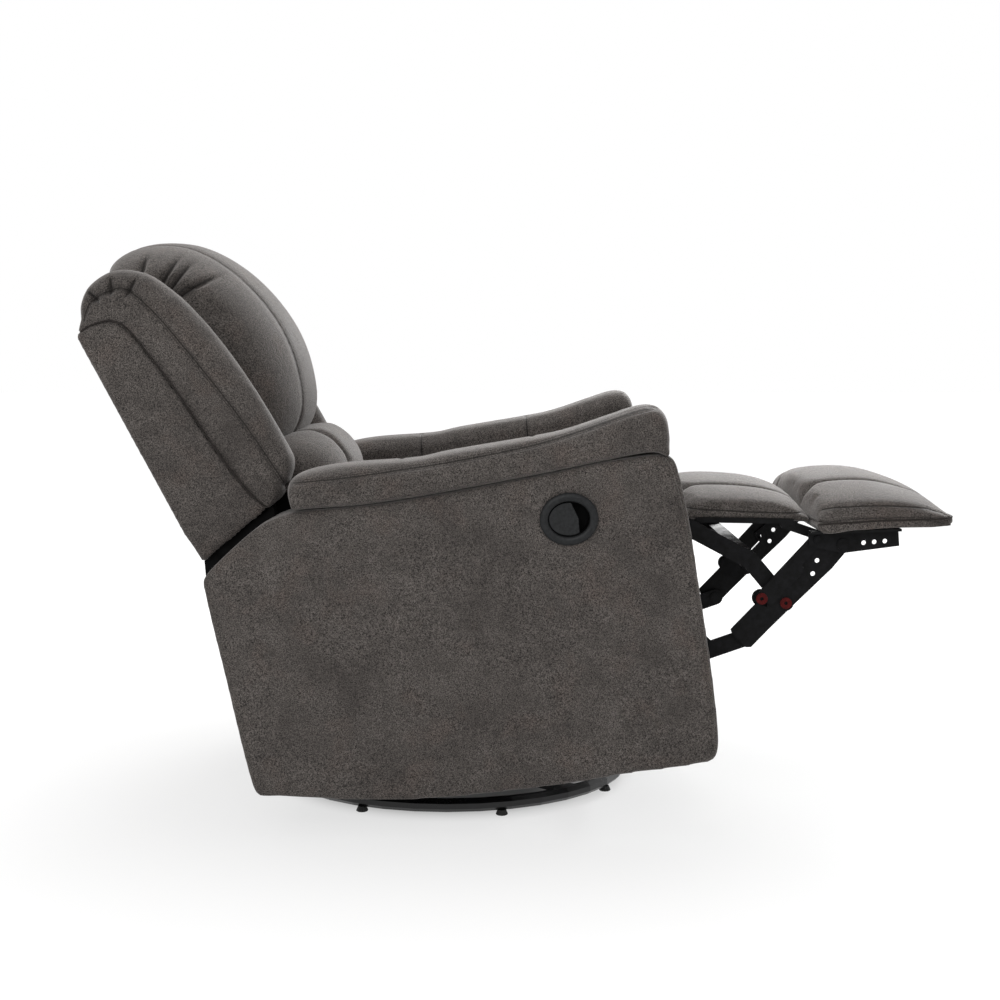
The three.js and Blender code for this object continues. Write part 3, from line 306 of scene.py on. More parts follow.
# Cloth that swells under pressure. A pad's "swell" holds what differs from these: cap is the furthest
# that it moves in mm, and it stays put up to the first distance in hold from its base line.
cloth = {"voxel": 0.0072, "pressure": 3.5, "rounds": 1, "frames": 18, "quality": 5, "mass": 0.25}
clothStiffness = {"tension": 12, "compression": 8, "shear": 5, "bending": 0.6}


def awayFromBase(base, low, high):  # 0 up to low mm from the base line, 1 further than high
    line = smoothLine(base, 40)

    def hold(level):
        d, _ = lineDistance(level[:, [0, 2]], line)
        return smoothStep(low, high, np.abs(d))
    return hold


def simulated(piece, swell):  # corner places after the last frame of the cloth
    mod = piece.modifiers.new("swell", "CLOTH")
    settings = mod.settings
    settings.quality = swell["quality"]
    settings.mass = swell["mass"]
    for kind, value in clothStiffness.items():
        setattr(settings, kind + "_stiffness", value)
    settings.use_pressure = True
    settings.uniform_pressure_force = swell["pressure"]
    settings.effector_weights.gravity = 0
    settings.shrink_min = swell["shrink"]
    mod.collision_settings.use_collision = False
    mod.point_cache.frame_start = 1
    mod.point_cache.frame_end = swell["frames"]
    for f in range(1, swell["frames"] + 1):
        scene.frame_set(f)
    evaluated = piece.evaluated_get(bpy.context.evaluated_depsgraph_get())
    moved = np.zeros(len(evaluated.data.vertices) * 3)
    evaluated.data.vertices.foreach_get("co", moved)
    piece.modifiers.clear()
    scene.frame_set(1)
    return moved.reshape(-1, 3)


def swollen(piece, pad):
    swell = {**cloth, **pad["swell"]}
    piece = remeshed(piece, swell["voxel"])
    before = readPoints(piece)
    shift = simulated(piece, swell) - before
    size = np.linalg.norm(shift, axis=1)
    shift *= (np.minimum(size, swell["cap"] / 1000) / np.maximum(size, 1e-9))[:, None]
    shift *= awayFromBase(pad["base"], *swell["hold"])(toLevel(before))[:, None]
    writePoints(piece, before + shift)
    return finePiece(relaxed(piece, swell["rounds"]))


# Materials
def newMaterial(name):
    material = bpy.data.materials.new(name)
    material.use_nodes = True
    nodes = material.node_tree.nodes
    shader = next(n for n in nodes if n.type == "BSDF_PRINCIPLED")
    return material, nodes, material.node_tree.links, shader


class Wires:  # short ways to add and join nodes
    def __init__(self, nodes, links):
        self.nodes = nodes
        self.links = links

    def add(self, kind, inputs=None, **settings):
        node = self.nodes.new(kind)
        for key, value in settings.items():
            setattr(node, key, value)
        for key, value in (inputs or {}).items():
            if isinstance(value, bpy.types.NodeSocket):
                self.links.new(value, node.inputs[key])
            else:
                node.inputs[key].default_value = value
        return node

    def math(self, operation, a, b=0.0):
        return self.add("ShaderNodeMath", {0: a, 1: b}, operation=operation).outputs[0]

    def vector(self, operation, inputs, output="Vector"):
        return self.add("ShaderNodeVectorMath", inputs, operation=operation).outputs[output]

    def total(self, *pairs):  # values times their shares, added up
        result = None
        for value, share in pairs:
            term = self.math("MULTIPLY", value, share)
            result = term if result is None else self.math("ADD", result, term)
        return result

    def attribute(self, name):
        return self.add("ShaderNodeAttribute", attribute_name=name).outputs["Fac"]

    def bump(self, height, strength, distance):
        node = self.add("ShaderNodeBump", {"Height": height, "Strength": strength, "Distance": distance})
        return node.outputs[0]

    def band(self, value, low, high, toLow=0.0, toHigh=1.0):
        node = self.add("ShaderNodeMapRange", {"Value": value, "From Min": low, "From Max": high,
                                               "To Min": toLow, "To Max": toHigh})
        return node.outputs[0]

    def mix(self, factor, a, b, blend="MIX"):
        node = self.add("ShaderNodeMix", data_type="RGBA", blend_type=blend)
        for socket, value in ((node.inputs[0], factor), (node.inputs[6], a), (node.inputs[7], b)):
            if isinstance(value, bpy.types.NodeSocket):
                self.links.new(value, socket)
            else:
                socket.default_value = value
        return node.outputs[2]

    def noise(self, vector, scale, detail=3.0, rough=0.55, distortion=0.0):
        node = self.add("ShaderNodeTexNoise", {"Vector": vector, "Scale": scale, "Detail": detail,
                                               "Roughness": rough, "Distortion": distortion})
        return node.outputs["Fac"]


# Noises are scale, detail, roughness and distortion. Bands are the two ends of a ramp, distances to
# a line and lengths along it are in mm, and the scales of the noises and creases are per metre.
suede = {
    "dark": (0.052, 0.045, 0.041, 1), "light": (0.098, 0.087, 0.080, 1), "warm": (0.092, 0.073, 0.064, 1),
    "thread": (0.030, 0.026, 0.024, 1), "crease": (0.15, 0.135, 0.125, 1),
    # seam is the dark of seams, and also the painted shade along pleat folds
    "seam": (0.008, 0.007, 0.006, 1),
    "roughness": 0.8, "specular": 0.25,
    "sheen": 0.34, "sheenRoughness": 0.4, "sheenTint": (0.9, 0.87, 0.85, 1),
    "cloud": (7, 5, 0.6), "patch": (26, 6, 0.68, 0.4), "worn": (14, 3, 0.6), "warmth": (18, 2),
    "grainNoise": (860, 2, 0.7), "speckNoise": (470, 2, 0.7), "grain": 0.95, "grainBand": (0.405, 0.595),
    "wander": (38.0, 3.0), "wanderReach": 0.022, "wideCrease": (62.0, 0.09), "smallCrease": (150.0, 0.14),
    "stitchAside": 3.2, "stitchLength": 5.2, "puckerLength": 9.5, "bump": (0.55, 0.0011),
}


def creases(w, place, patch):  # thin lines between cells, bent by a noise, where the nap is worn
    scale, detail = suede["wander"]
    wander = w.add("ShaderNodeTexNoise", {"Vector": place, "Scale": scale, "Detail": detail})
    shifted = w.vector("SUBTRACT", {0: wander.outputs["Color"], 1: (0.5, 0.5, 0.5)})
    scaled = w.vector("SCALE", {0: shifted, "Scale": suede["wanderReach"]})
    bent = w.vector("ADD", {0: place, 1: scaled})

    def cells(scale, width):
        edge = w.add("ShaderNodeTexVoronoi", {"Vector": bent, "Scale": scale}, feature="DISTANCE_TO_EDGE")
        return w.band(edge.outputs[0], 0.0, width, 1, 0)
    worn = w.band(w.noise(place, *suede["worn"]), 0.42, 0.62)
    wide = w.math("MULTIPLY", cells(*suede["wideCrease"]), worn)
    small = w.math("MULTIPLY", cells(*suede["smallCrease"]), w.band(patch, 0.45, 0.65))
    return w.math("MAXIMUM", wide, w.math("MULTIPLY", small, 0.55))


def coverMaterial():
    material, nodes, links, shader = newMaterial("cover_suede")
    w = Wires(nodes, links)
    place = w.add("ShaderNodeTexCoord").outputs["Object"]
    cloudy = w.noise(place, *suede["cloud"])
    patch = w.noise(place, *suede["patch"])
    crease = creases(w, place, patch)
    grain = w.noise(place, *suede["grainNoise"])
    speck = w.noise(place, *suede["speckNoise"])

    tone = w.total((cloudy, 0.45), (patch, 0.55))
    colour = w.mix(w.band(tone, 0.36, 0.64), suede["dark"], suede["light"])
    colour = w.mix(w.band(w.noise(place, *suede["warmth"]), 0.52, 0.72, 0, 0.55), colour, suede["warm"])
    colour = w.mix(w.math("MULTIPLY", crease, 0.34), colour, suede["crease"])
    fine = w.total((grain, 0.6), (speck, 0.4))
    spread = w.band(fine, *suede["grainBand"], 1 - suede["grain"], 1 + suede["grain"])
    grey = w.add("ShaderNodeCombineColor", {0: spread, 1: spread, 2: spread}).outputs[0]
    colour = w.mix(1.0, colour, grey, "MULTIPLY")

    # A seam is a dark line, a stitched one a dark line with a row of dashed thread on each side.
    # The same dark line is painted shade along the folds of pleats.
    seamGap = w.math("ABSOLUTE", w.attribute("seamGap"))
    stitchGap = w.math("ABSOLUTE", w.attribute("stitchGap"))
    stitchRun = w.attribute("stitchRun")
    seamAndFoldShade = w.band(seamGap, 0.3, 1.7, 1, 0)
    aside = w.math("ABSOLUTE", w.math("SUBTRACT", stitchGap, suede["stitchAside"]))
    dash = w.math("SINE", w.math("MULTIPLY", stitchRun, 2 * math.pi / suede["stitchLength"]))
    dash = w.band(w.band(dash, -0.55, -0.25), 0, 1, 0.35, 1)
    onThread = w.math("MULTIPLY", w.band(aside, 0.35, 1.1, 1, 0), dash)
    colour = w.mix(w.math("MULTIPLY", seamAndFoldShade, 0.85), colour, suede["seam"])
    colour = w.mix(w.band(stitchGap, 0.5, 1.9, 0.8, 0), colour, suede["seam"])
    colour = w.mix(w.math("MULTIPLY", onThread, 0.75), colour, suede["thread"])
    links.new(colour, shader.inputs["Base Color"])

    rough = w.band(tone, 0.35, 0.65, suede["roughness"] - 0.08, suede["roughness"] + 0.1)
    links.new(rough, shader.inputs["Roughness"])
    shader.inputs["Sheen Weight"].default_value = suede["sheen"]
    shader.inputs["Sheen Roughness"].default_value = suede["sheenRoughness"]
    shader.inputs["Sheen Tint"].default_value = suede["sheenTint"]
    shader.inputs["Specular IOR Level"].default_value = suede["specular"]

    pucker = w.math("SINE", w.math("MULTIPLY", stitchRun, 2 * math.pi / suede["puckerLength"]))
    pucker = w.math("MULTIPLY", w.band(stitchGap, 2, 9, 1, 0), pucker)
    height = w.total((crease, -0.5), (grain, 0.6), (speck, 0.7), (seamAndFoldShade, -2.2), (onThread, -0.8),
                     (pucker, 0.28))
    links.new(w.bump(height, *suede["bump"]), shader.inputs["Normal"])
    return material


# A finish whose colour runs from dark to light and whose roughness varies by spread, with fine grain
def plainMaterial(name, dark, light, roughness, spread, scale=60.0, bumpMm=0.15, grainScale=700.0,
                  specular=0.5):
    material, nodes, links, shader = newMaterial(name)
    w = Wires(nodes, links)
    place = w.add("ShaderNodeTexCoord").outputs["Object"]
    tone = w.noise(place, scale, 5, 0.62)
    colour = w.mix(w.band(tone, 0.35, 0.65), (*dark, 1), (*light, 1))
    links.new(colour, shader.inputs["Base Color"])
    smudge = w.noise(place, scale * 0.3, 4, 0.6)
    rough = w.band(smudge, 0.35, 0.65, roughness - spread, roughness + spread)
    links.new(rough, shader.inputs["Roughness"])
    shader.inputs["Specular IOR Level"].default_value = specular
    links.new(w.bump(w.noise(place, grainScale, 3, 0.6), 0.5, bumpMm / 1000), shader.inputs["Normal"])
    return material


ply = {"stretch": (14.0, 2.0, 60.0), "rings": (3.0, 6, 0.65, 1.2), "dark": (0.17, 0.11, 0.062, 1),
       "light": (0.31, 0.22, 0.13, 1), "roughness": 0.72, "bump": (0.4, 0.0004)}


def woodMaterial():  # rings of a noise drawn out along y
    material, nodes, links, shader = newMaterial("raw_ply")
    w = Wires(nodes, links)
    place = w.add("ShaderNodeTexCoord").outputs["Object"]
    stretched = w.add("ShaderNodeMapping", {"Vector": place, "Scale": ply["stretch"]}).outputs[0]
    rings = w.noise(stretched, *ply["rings"])
    links.new(w.mix(w.band(rings, 0.3, 0.7), ply["dark"], ply["light"]), shader.inputs["Base Color"])
    shader.inputs["Roughness"].default_value = ply["roughness"]
    links.new(w.bump(rings, *ply["bump"]), shader.inputs["Normal"])
    return material


cover = coverMaterial()
steelBlack = plainMaterial("black_powder_coat", (0.003, 0.003, 0.003), (0.008, 0.008, 0.009), 0.58, 0.08,
                           scale=90, bumpMm=0.12, specular=0.1)
ringBlack = plainMaterial("ring_gloss_black", (0.004, 0.004, 0.004), (0.008, 0.008, 0.009), 0.3, 0.06,
                          scale=40, bumpMm=0.05, specular=0.4)
weltDark = plainMaterial("welt_suede", (0.020, 0.017, 0.015), (0.032, 0.027, 0.025), 0.85, 0.05,
                         specular=0.2)
linerBlack = plainMaterial("liner_cloth", (0.004, 0.004, 0.004), (0.008, 0.008, 0.008), 0.95, 0.03,
                           specular=0.1)
plasticBlack = plainMaterial("handle_plastic", (0.008, 0.0085, 0.009), (0.018, 0.019, 0.02), 0.4, 0.07,
                             scale=260, bumpMm=0.2, grainScale=900, specular=0.18)
# Painted shade: the handle's recess is a near-black copy of its plastic, darker for the shade in the well
wellShadeBlack = plainMaterial("handle_well_painted_shade", (0.0015, 0.0015, 0.0015), (0.003, 0.003, 0.003), 0.6, 0.05,
                          specular=0.05)
rubberBlack = plainMaterial("foot_rubber", (0.012, 0.012, 0.012), (0.022, 0.022, 0.022), 0.7, 0.06,
                            scale=150)
redPlastic = plainMaterial("red_washer", (0.05, 0.003, 0.003), (0.09, 0.006, 0.006), 0.6, 0.05,
                           scale=200, specular=0.12)
wood = woodMaterial()
print("materials made")

slotMaterials = {"black_steel": steelBlack, "handle_plastic": plasticBlack, "glide": rubberBlack,
                 "wood": wood, "red_washer": redPlastic, "cover": cover}
# handle_bezel, the recess of the handle, gets the painted shade of its well
ownMaterials = {"base_ring": ringBlack, "handle_bezel": wellShadeBlack, "front_rail": linerBlack,
                "seat_frame": linerBlack}
for entry in frame["record"]["subparts"]:
    name = entry["node"]
    materials = frame["nodes"][name].data.materials
    materials.clear()
    materials.append(ownMaterials.get(name, slotMaterials[entry["material_slot"]]))


def dressed(piece, body, node=None, material=cover):
    piece.data.materials.clear()
    piece.data.materials.append(material)
    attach(piece, body)
    if node:
        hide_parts(node)
    return piece


# A pad is a loop carried along its length: each loop rises from the base line to the crown line by
# a rounded section, and both lines are curves in x and z. The section is a superellipse: it is widest
# at edge, a share of its height, with the power upper over that and lower under it. squat is the half
# width over the height that its even steps are taken for.
def section(count, edge, upper, lower, squat):
    turn = np.linspace(0, 2 * np.pi, 400)
    c, s = np.cos(turn), np.sin(turn)
    n = np.where(s >= 0, upper, lower)
    y = np.sign(c) * np.abs(c) ** (2 / n)
    k = np.where(s >= 0, edge + (1 - edge) * np.abs(s) ** (2 / n), edge * (1 - np.abs(s) ** (2 / n)))
    loop = evenSteps(np.stack([y * squat, k], -1), count + 1)[:-1]
    return loop[:, 0] / squat, loop[:, 1]


# In a pad's values, along and around are counts of steps, draw narrows it at mid length, and ends
# narrows both its ends. A channel is a valley along the pad, with a bell curve across it, deepest at mid
# length, and its depth is a share of the pad's height. A press is a groove's depth and width in mm, and
# Past and Over say how far out or up a line starts.
def padPiece(name, pad):
    usual = {"squat": 2.0, "draw": 0.0, "ends": 0.0, "channels": (), "channelWidth": 11.0, "middle": 0.0}
    pad = {**usual, **pad}
    base = smoothLine(pad["base"], pad["along"])
    crown = smoothLine(pad["crown"], pad["along"])
    y, k = section(pad["around"], pad["edge"], pad["upper"], pad["lower"], pad["squat"])
    u = np.linspace(0, 1, pad["along"])[:, None]
    rise = np.repeat(k[None], pad["along"], 0)
    narrowed = 1 - np.sin(np.pi * np.clip(u * 0.96 + 0.02, 0, 1)) ** 0.35
    half = pad["half"] * (1 - pad["draw"] * np.sin(np.pi * u)) * (1 - pad["ends"] * narrowed)
    across = half * y[None]
    for spot in pad["channels"]:
        dip = np.exp(-((across - spot) / pad["channelWidth"]) ** 2)
        rise = rise - pad["channelDepth"] * dip * smoothStep(0.5, 0.9, k)[None] * np.sin(np.pi * u) ** 0.5
    xz = base[:, None] + (crown - base)[:, None] * rise[..., None]
    grid = np.stack([xz[..., 0], pad["middle"] + across, xz[..., 1]], -1)
    return gridPiece(name, noseRounded(grid, pad) if "nose" in pad else grid)


def noseRounded(points, pad):  # the front corners rounded by a quarter circle, as seen from above
    front, radius = pad["nose"]
    past = np.clip(points[..., 0] - front + radius, 0, radius)
    cut = radius - np.sqrt(radius ** 2 - past ** 2)
    return points * np.stack([np.ones(cut.shape), 1 - cut / pad["half"], np.ones(cut.shape)], -1)


# Head pillow: domed, with vertical channels and short pleats sewn in at its top
head = {
    "base": onBack([(198, -45), (340, -45), (500, -45)]),
    "crown": [(-301, 590), (-262, 594), (-230, 606), (-207, 630), (-197, 660), (-196, 695), (-203, 744),
              (-220, 793), (-248, 840), (-282, 880), (-320, 911), (-358, 931), (-392, 938), (-427, 938),
              (-460, 930), (-486, 914), (-496, 897), (-484, 880), (-450, 868)],
    "half": 250, "along": 110, "around": 120, "edge": 0.42, "upper": 2.15, "lower": 3.0,
    "draw": 0.02, "ends": 0.1,
    "channels": (-104, 104), "channelDepth": 0.018, "channelPress": (1.4, 4.0),
    "swell": {"cap": 13, "hold": (12, 60), "shrink": -0.03, "rounds": 2},
    "pleatsPast": 140, "pleatPress": (14.0, 4.8),
}
headPleats = [[(-417, 880), (-411, 905), (-405, 926)], [(-386, 866), (-364, 902), (-354, 925)],
              [(-372, 858), (-344, 896), (-334, 915)], [(-362, 848), (-322, 870), (-288, 887)]]


def fading(line):  # full depth at the start of a fold and none at its end
    length = np.linalg.norm(np.diff(np.array(line, float), axis=0), axis=1).sum()
    return lambda run: 1 - smoothStep(0.45 * length, length, run)


def foldShadeLine(line, side, limit):  # painted shade along a fold, twice as wide as a seam's dark line, over its deep part
    measure = sideLine(smoothLine(line, 24)[:17], side, limit, 12)

    def wide(level):
        d, s = measure(level)
        return d / 2, s
    return wide


def makeHeadPillow():
    piece = swollen(padPiece("headPillow", head), head)
    lines = [lengthLine(y) for y in head["channels"]]
    pressed(piece, lines, *head["channelPress"])
    past = head["pleatsPast"]
    for pleat in headPleats:
        for side in (-1, 1):
            pressed(piece, [sideLine(pleat, side, past, 24)], *head["pleatPress"], fading(pleat))
    # Painted shade: a dark line along the deep part of each pleat's fold
    foldShades = [foldShadeLine(pleat, side, past) for pleat in headPleats for side in (-1, 1)]
    storeLines(piece, seamsAndFoldShades=foldShades, stitches=lines)
    return dressed(piece, "back", "head_pillow")


lumbar = {
    "base": onBack([(46, -45), (120, -45), (194, -45)]),
    "crown": onBack([(44, -36), (44, 56), (54, 104), (74, 125), (99, 131), (124, 128), (146, 119),
                     (168, 97), (183, 60), (190, 10), (190, -36)]),
    "half": 250, "along": 80, "around": 110, "edge": 0.5, "upper": 2.4, "lower": 3.0, "draw": 0.012,
    "channels": (-104, 104), "channelDepth": 0.03, "channelPress": (2.8, 4.5),
    "swell": {"cap": 10, "hold": (12, 60), "shrink": -0.02, "rounds": 2},
}


def makeLumbarPillow():
    piece = swollen(padPiece("lumbarPillow", lumbar), lumbar)
    lines = [lengthLine(y) for y in lumbar["channels"]]
    pressed(piece, lines, *lumbar["channelPress"])
    storeLines(piece, stitches=lines)
    return dressed(piece, "back", "lumbar_pillow")


# Wings: the thick boxed sides of the back, gathered at their tops
wing = {
    "base": [(-234, 512), (-263, 540), (-308, 608), (-358, 699), (-403, 769), (-426, 801), (-447, 811),
             (-470, 808), (-488, 801)],
    "crown": [(-226, 520), (-206, 545), (-190, 584), (-203, 620), (-253, 720), (-286, 775), (-330, 835),
              (-352, 857), (-380, 881), (-407, 891), (-429, 893), (-450, 887), (-473, 871), (-485, 847),
              (-486, 828), (-495, 808)],
    "along": 110, "around": 72, "edge": 0.62, "upper": 2.7, "lower": 5.0, "squat": 0.6,
    "middle": 303.0, "half": 41.0,
    "swell": {"cap": 5, "hold": (6, 30), "shrink": -0.02, "pressure": 2.0, "voxel": 0.0056},
    "pleatsPast": 262, "pleatPress": (9.0, 4.2), "stitchPast": 305, "stitchPress": (4.5, 4.5),
}
wingStitch = [(-483, 824), (-468, 850), (-438, 864), (-414, 864), (-376, 828), (-329, 763), (-265, 666),
              (-216, 580), (-199, 540)]
wingPleats = [[(-459, 851), (-468, 861), (-476, 869)], [(-438, 861), (-437, 876), (-437, 889)],
              [(-413, 857), (-404, 871), (-396, 884)]]


def makeWing(side):
    name = sideName(side)
    piece = swollen(padPiece("backWing" + name, dict(wing, middle=side * wing["middle"])), wing)
    for pleat in wingPleats:
        pressed(piece, [sideLine(pleat, side, wing["pleatsPast"], 16)], *wing["pleatPress"], fading(pleat))
    seam = sideLine(wingStitch, side, wing["stitchPast"])
    pressed(piece, [seam], *wing["stitchPress"])
    # Painted shade: a dark line along the deep part of each pleat's fold
    foldShades = [foldShadeLine(pleat, side, wing["pleatsPast"]) for pleat in wingPleats]
    storeLines(piece, seamsAndFoldShades=foldShades, stitches=[seam])
    return dressed(piece, "back", "back_wing_" + name.lower())


# Arm pads: a sewn roll with a boxed side, which tips up and rolls over at the front
armPad = {
    "base": [(-188, 515), (-97, 513), (-37, 516), (54, 524), (181, 538), (294, 552), (352, 559),
             (372, 555), (380, 549)],
    "crown": [(-189, 519), (-190, 538), (-188, 554), (-178, 564), (-152, 570), (-99, 573), (2, 572),
              (56, 579), (179, 590), (233, 597), (300, 614), (340, 625), (360, 627), (373, 620),
              (381, 605), (382, 588), (382, 570), (384, 556), (384, 551)],
    "along": 150, "around": 84, "edge": 0.42, "upper": 3.4, "lower": 4.5, "squat": 1.1,
    "middle": 342.5, "half": 69.0,
    "swell": {"cap": 4, "hold": (6, 26), "shrink": -0.015, "pressure": 2.0, "voxel": 0.0056},
    "stitchPast": 372, "stitchPress": (1.9, 4.2),
    "joins": (-21.0, 181.0), "joinsTo": 345, "joinPress": (1.6, 3.6),
}
armStitch = [(-184, 556), (-140, 557), (-100, 558), (-34, 562), (55, 569), (187, 585), (275, 605),
             (330, 620), (368, 626)]


def crossLine(x, side):  # a seam across the inner half of an arm pad, where two lengths are joined
    def measure(level):
        inner = level[:, 1] * side < armPad["joinsTo"]
        return np.where(inner, level[:, 0] - x, far), level[:, 1] + level[:, 2]
    return measure


def makeArmPad(side):
    name = sideName(side)
    piece = swollen(padPiece("armPad" + name, dict(armPad, middle=side * armPad["middle"])), armPad)
    joins = [crossLine(x, side) for x in armPad["joins"]]
    pressed(piece, joins, *armPad["joinPress"])
    edges = [sideLine(armStitch, side, armPad["stitchPast"])]
    pressed(piece, edges, *armPad["stitchPress"])
    storeLines(piece, seamsAndFoldShades=joins, stitches=edges + joins)
    return dressed(piece, "chair_body", "arm_pad_" + name.lower())


# Arm panels: fabric pulled over a hollow box, from the CAD solid with its edges eased
panel = {"voxel": 0.0058, "bulge": 3.0, "centre": (60.0, 300.0), "reach": (360.0, 230.0),
         "face": (396, 403), "wave": 0.8, "waveSize": 190, "waveSeed": 5,
         "seamPast": 380, "seamInset": 9, "weltInset": 8.5, "weltY": 404.3, "weltRadius": 2.3}
panelWelt = [(379, 553), (388, 536), (396, 505), (405, 452), (411, 396), (419, 330), (424, 250),
             (428, 170), (425, 112)]


def makeArmPanel(side):  # the outer face swells by bulge times one less a squared distance, plus waves
    name = sideName(side)
    node = "arm_panel_" + name.lower()
    piece = relaxed(remeshed(copyOfNode(node, "armPanel" + name), panel["voxel"]), 3)
    level = toLevel(readPoints(piece))
    outer = smoothStep(*panel["face"], level[:, 1] * side)
    r = ((level[:, 0] - panel["centre"][0]) / panel["reach"][0]) ** 2 + (
        (level[:, 2] - panel["centre"][1]) / panel["reach"][1]) ** 2
    swell = panel["bulge"] * np.clip(1 - r, 0, 1)
    swell += panel["wave"] * waves(level[:, [0, 2]], panel["waveSize"], panel["waveSeed"])
    level[:, 1] += side * outer * swell
    writePoints(piece, toWorld(level))
    inset = [(x - panel["seamInset"], z) for x, z in panelWelt]
    storeLines(piece, seamsAndFoldShades=[sideLine(inset, side, panel["seamPast"])])
    return dressed(piece, "chair_body", node)


def makePanelWelt(side):
    line = smoothLine(panelWelt, 90) - (panel["weltInset"], 0)
    path = acrossRows(line, [side * panel["weltY"]])[0]
    piece = tubePiece("panelWelt" + sideName(side), path, panel["weltRadius"])
    storeLines(piece)
    return dressed(piece, "chair_body")


lip = {"width": 6.4, "rise": 3.4, "steps": 72, "around": 16}


def makeBezelLip():  # the rolled rim of the recess: an ellipse swept by a smaller one
    low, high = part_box("handle_bezel")
    middle = toLevel(np.array([(low[i] + high[i]) / 2 for i in range(3)]))
    turn = np.linspace(0, 2 * np.pi, lip["steps"] + 1)[:, None]
    roll = np.linspace(0, 2 * np.pi, lip["around"], endpoint=False)[None]
    size = [(high[i] - low[i]) * 500 - lip["width"] for i in (0, 2)]
    out = lip["width"] * np.cos(roll)
    x = middle[0] + (size[0] + out) * np.cos(turn)
    z = middle[2] + (size[1] + out) * np.sin(turn)
    y = low[1] * 1000 - lip["rise"] * np.sin(roll) + 0 * turn
    piece = gridPiece("bezelLip", np.stack([x, y, z], -1), capEnds=False)
    return dressed(piece, "chair_body", material=plasticBlack)


# Covered shells, with their edges eased
shells = {"voxel": 0.0065, "rearVoxel": 0.006, "rounds": 3}


def makeBackShell():
    piece = relaxed(remeshed(copyOfNode("back_shell", "backShell"), shells["voxel"]), shells["rounds"])
    storeLines(piece)
    return dressed(piece, "back", "back_shell")


def makeRearPanel():
    piece = relaxed(remeshed(copyOfNode("rear_panel", "rearPanel"), shells["rearVoxel"]), shells["rounds"])
    storeLines(piece)
    return dressed(piece, "chair_body", "rear_panel")


# Points up along the back and forward from it, as those of the pillows' base lines
liner = {"loop": [(112, 6), (88, -124), (44, -112), (12, -96), (-14, -40), (-6, 30), (40, 60), (110, 60)],
         "from": 267.0, "to": 271.5}


def makeLiner(side):  # black cloth that closes the gap between the back and the inside of an arm
    rows = acrossRows(onBack(liner["loop"]), (side * liner["from"], side * liner["to"]))
    piece = shaded(gridPiece("backLiner" + sideName(side), rows), False)
    return dressed(piece, "back", material=linerBlack)


shellSeam = {"line": [(-229, 517), (-243, 527), (-257, 543), (-271, 563), (-301, 611), (-351, 702),
                      (-396, 774), (-420, 807), (-443, 819), (-472, 814), (-489, 806)],
             "y": 343.2, "radius": 1.2}


def makeShellWelt(side):
    path = acrossRows(smoothLine(shellSeam["line"], 130), [side * shellSeam["y"]])[0]
    piece = tubePiece("shellWelt" + sideName(side), path, shellSeam["radius"])
    storeLines(piece)
    return dressed(piece, "back", material=weltDark)


shoulder = {"loop": [(-338, 408), (-320, 424), (-286, 456), (-246, 485), (-222, 497), (-226, 518),
                     (-338, 441.5)],
            "from": 287.0, "to": 326.0}


def makeShoulderLiner(side):  # black strip between the foot of the back and the top of an arm
    rows = acrossRows(shoulder["loop"], (side * shoulder["from"], side * shoulder["to"]))
    piece = shaded(gridPiece("shoulderLiner" + sideName(side), rows), False)
    return dressed(piece, "chair_body", material=linerBlack)


flap = {"loop": [(-324, 502), (-331, 440), (-331, 414), (-326, 376), (-321, 376), (-325, 414),
                 (-325, 440), (-318, 502)], "half": 265.0, "voxel": 0.003, "rounds": 1}
crest = {"loop": [(-484, 802), (-488, 815), (-487, 838), (-480, 860), (-465, 874), (-445, 874),
                  (-430, 855), (-427, 815), (-445, 800)], "half": 263.0, "voxel": 0.006, "rounds": 3,
         "channels": (-104, 0, 104), "channelPress": (3.0, 6.0)}


def barPiece(name, bar):  # a soft bar that runs across the chair, with its front corners rounded
    loop = evenSteps(np.array(bar["loop"] + bar["loop"][:1], float), 61)[:-1]
    rows = noseRounded(acrossRows(loop, (-bar["half"], bar["half"])), mainPad)
    return relaxed(remeshed(gridPiece(name, rows), bar["voxel"]), bar["rounds"])


def makeRearFlap():  # cloth from the rear panel up behind the foot of the back
    piece = barPiece("rearFlap", flap)
    storeLines(piece)
    return dressed(piece, "chair_body")


def makeBackCrest():  # covered roll between the wings, behind the head pillow
    piece = finePiece(barPiece("backCrest", crest))
    lines = [lengthLine(y) for y in crest["channels"]]
    pressed(piece, lines, *crest["channelPress"])
    storeLines(piece, stitches=lines)
    return dressed(piece, "back")


deck = {"loop": [(-80, 455), (-80, 448), (-150, 440), (-185, 450), (-205, 470), (-200, 476), (-182, 458),
                 (-150, 448)], "half": 254.0}


def makeDeckCloth():  # black cloth in the crease between seat and back
    piece = gridPiece("deckCloth", acrossRows(deck["loop"], (-deck["half"], deck["half"])))
    return dressed(piece, "seat", material=linerBlack)


# Seat cushion and the two pads of the footrest
seatPad = {
    "base": [(-92, 442), (150, 442), (368, 442)],
    "crown": [(-96, 450), (-98, 464), (-84, 475), (-45, 481), (35, 491), (128, 506), (222, 515),
              (300, 517), (352, 511), (378, 496), (384, 473), (378, 453)],
    "half": 260, "along": 110, "around": 120, "edge": 0.5, "upper": 3.4, "lower": 4.0, "draw": 0.008,
    "channels": (-104, 104), "channelDepth": 0.06, "channelPress": (2.8, 4.5), "channelsOver": 462,
    "swell": {"cap": 9, "hold": (6, 40), "shrink": -0.02, "pressure": 2.5},
}


def makeSeatCushion():
    piece = swollen(padPiece("seatCushion", seatPad), seatPad)

    def onTop(level):
        return level[:, 2] > seatPad["channelsOver"]
    lines = [lengthLine(y, onTop) for y in seatPad["channels"]]
    pressed(piece, lines, *seatPad["channelPress"])
    storeLines(piece, stitches=lines)
    return dressed(piece, "seat", "seat_cushion")


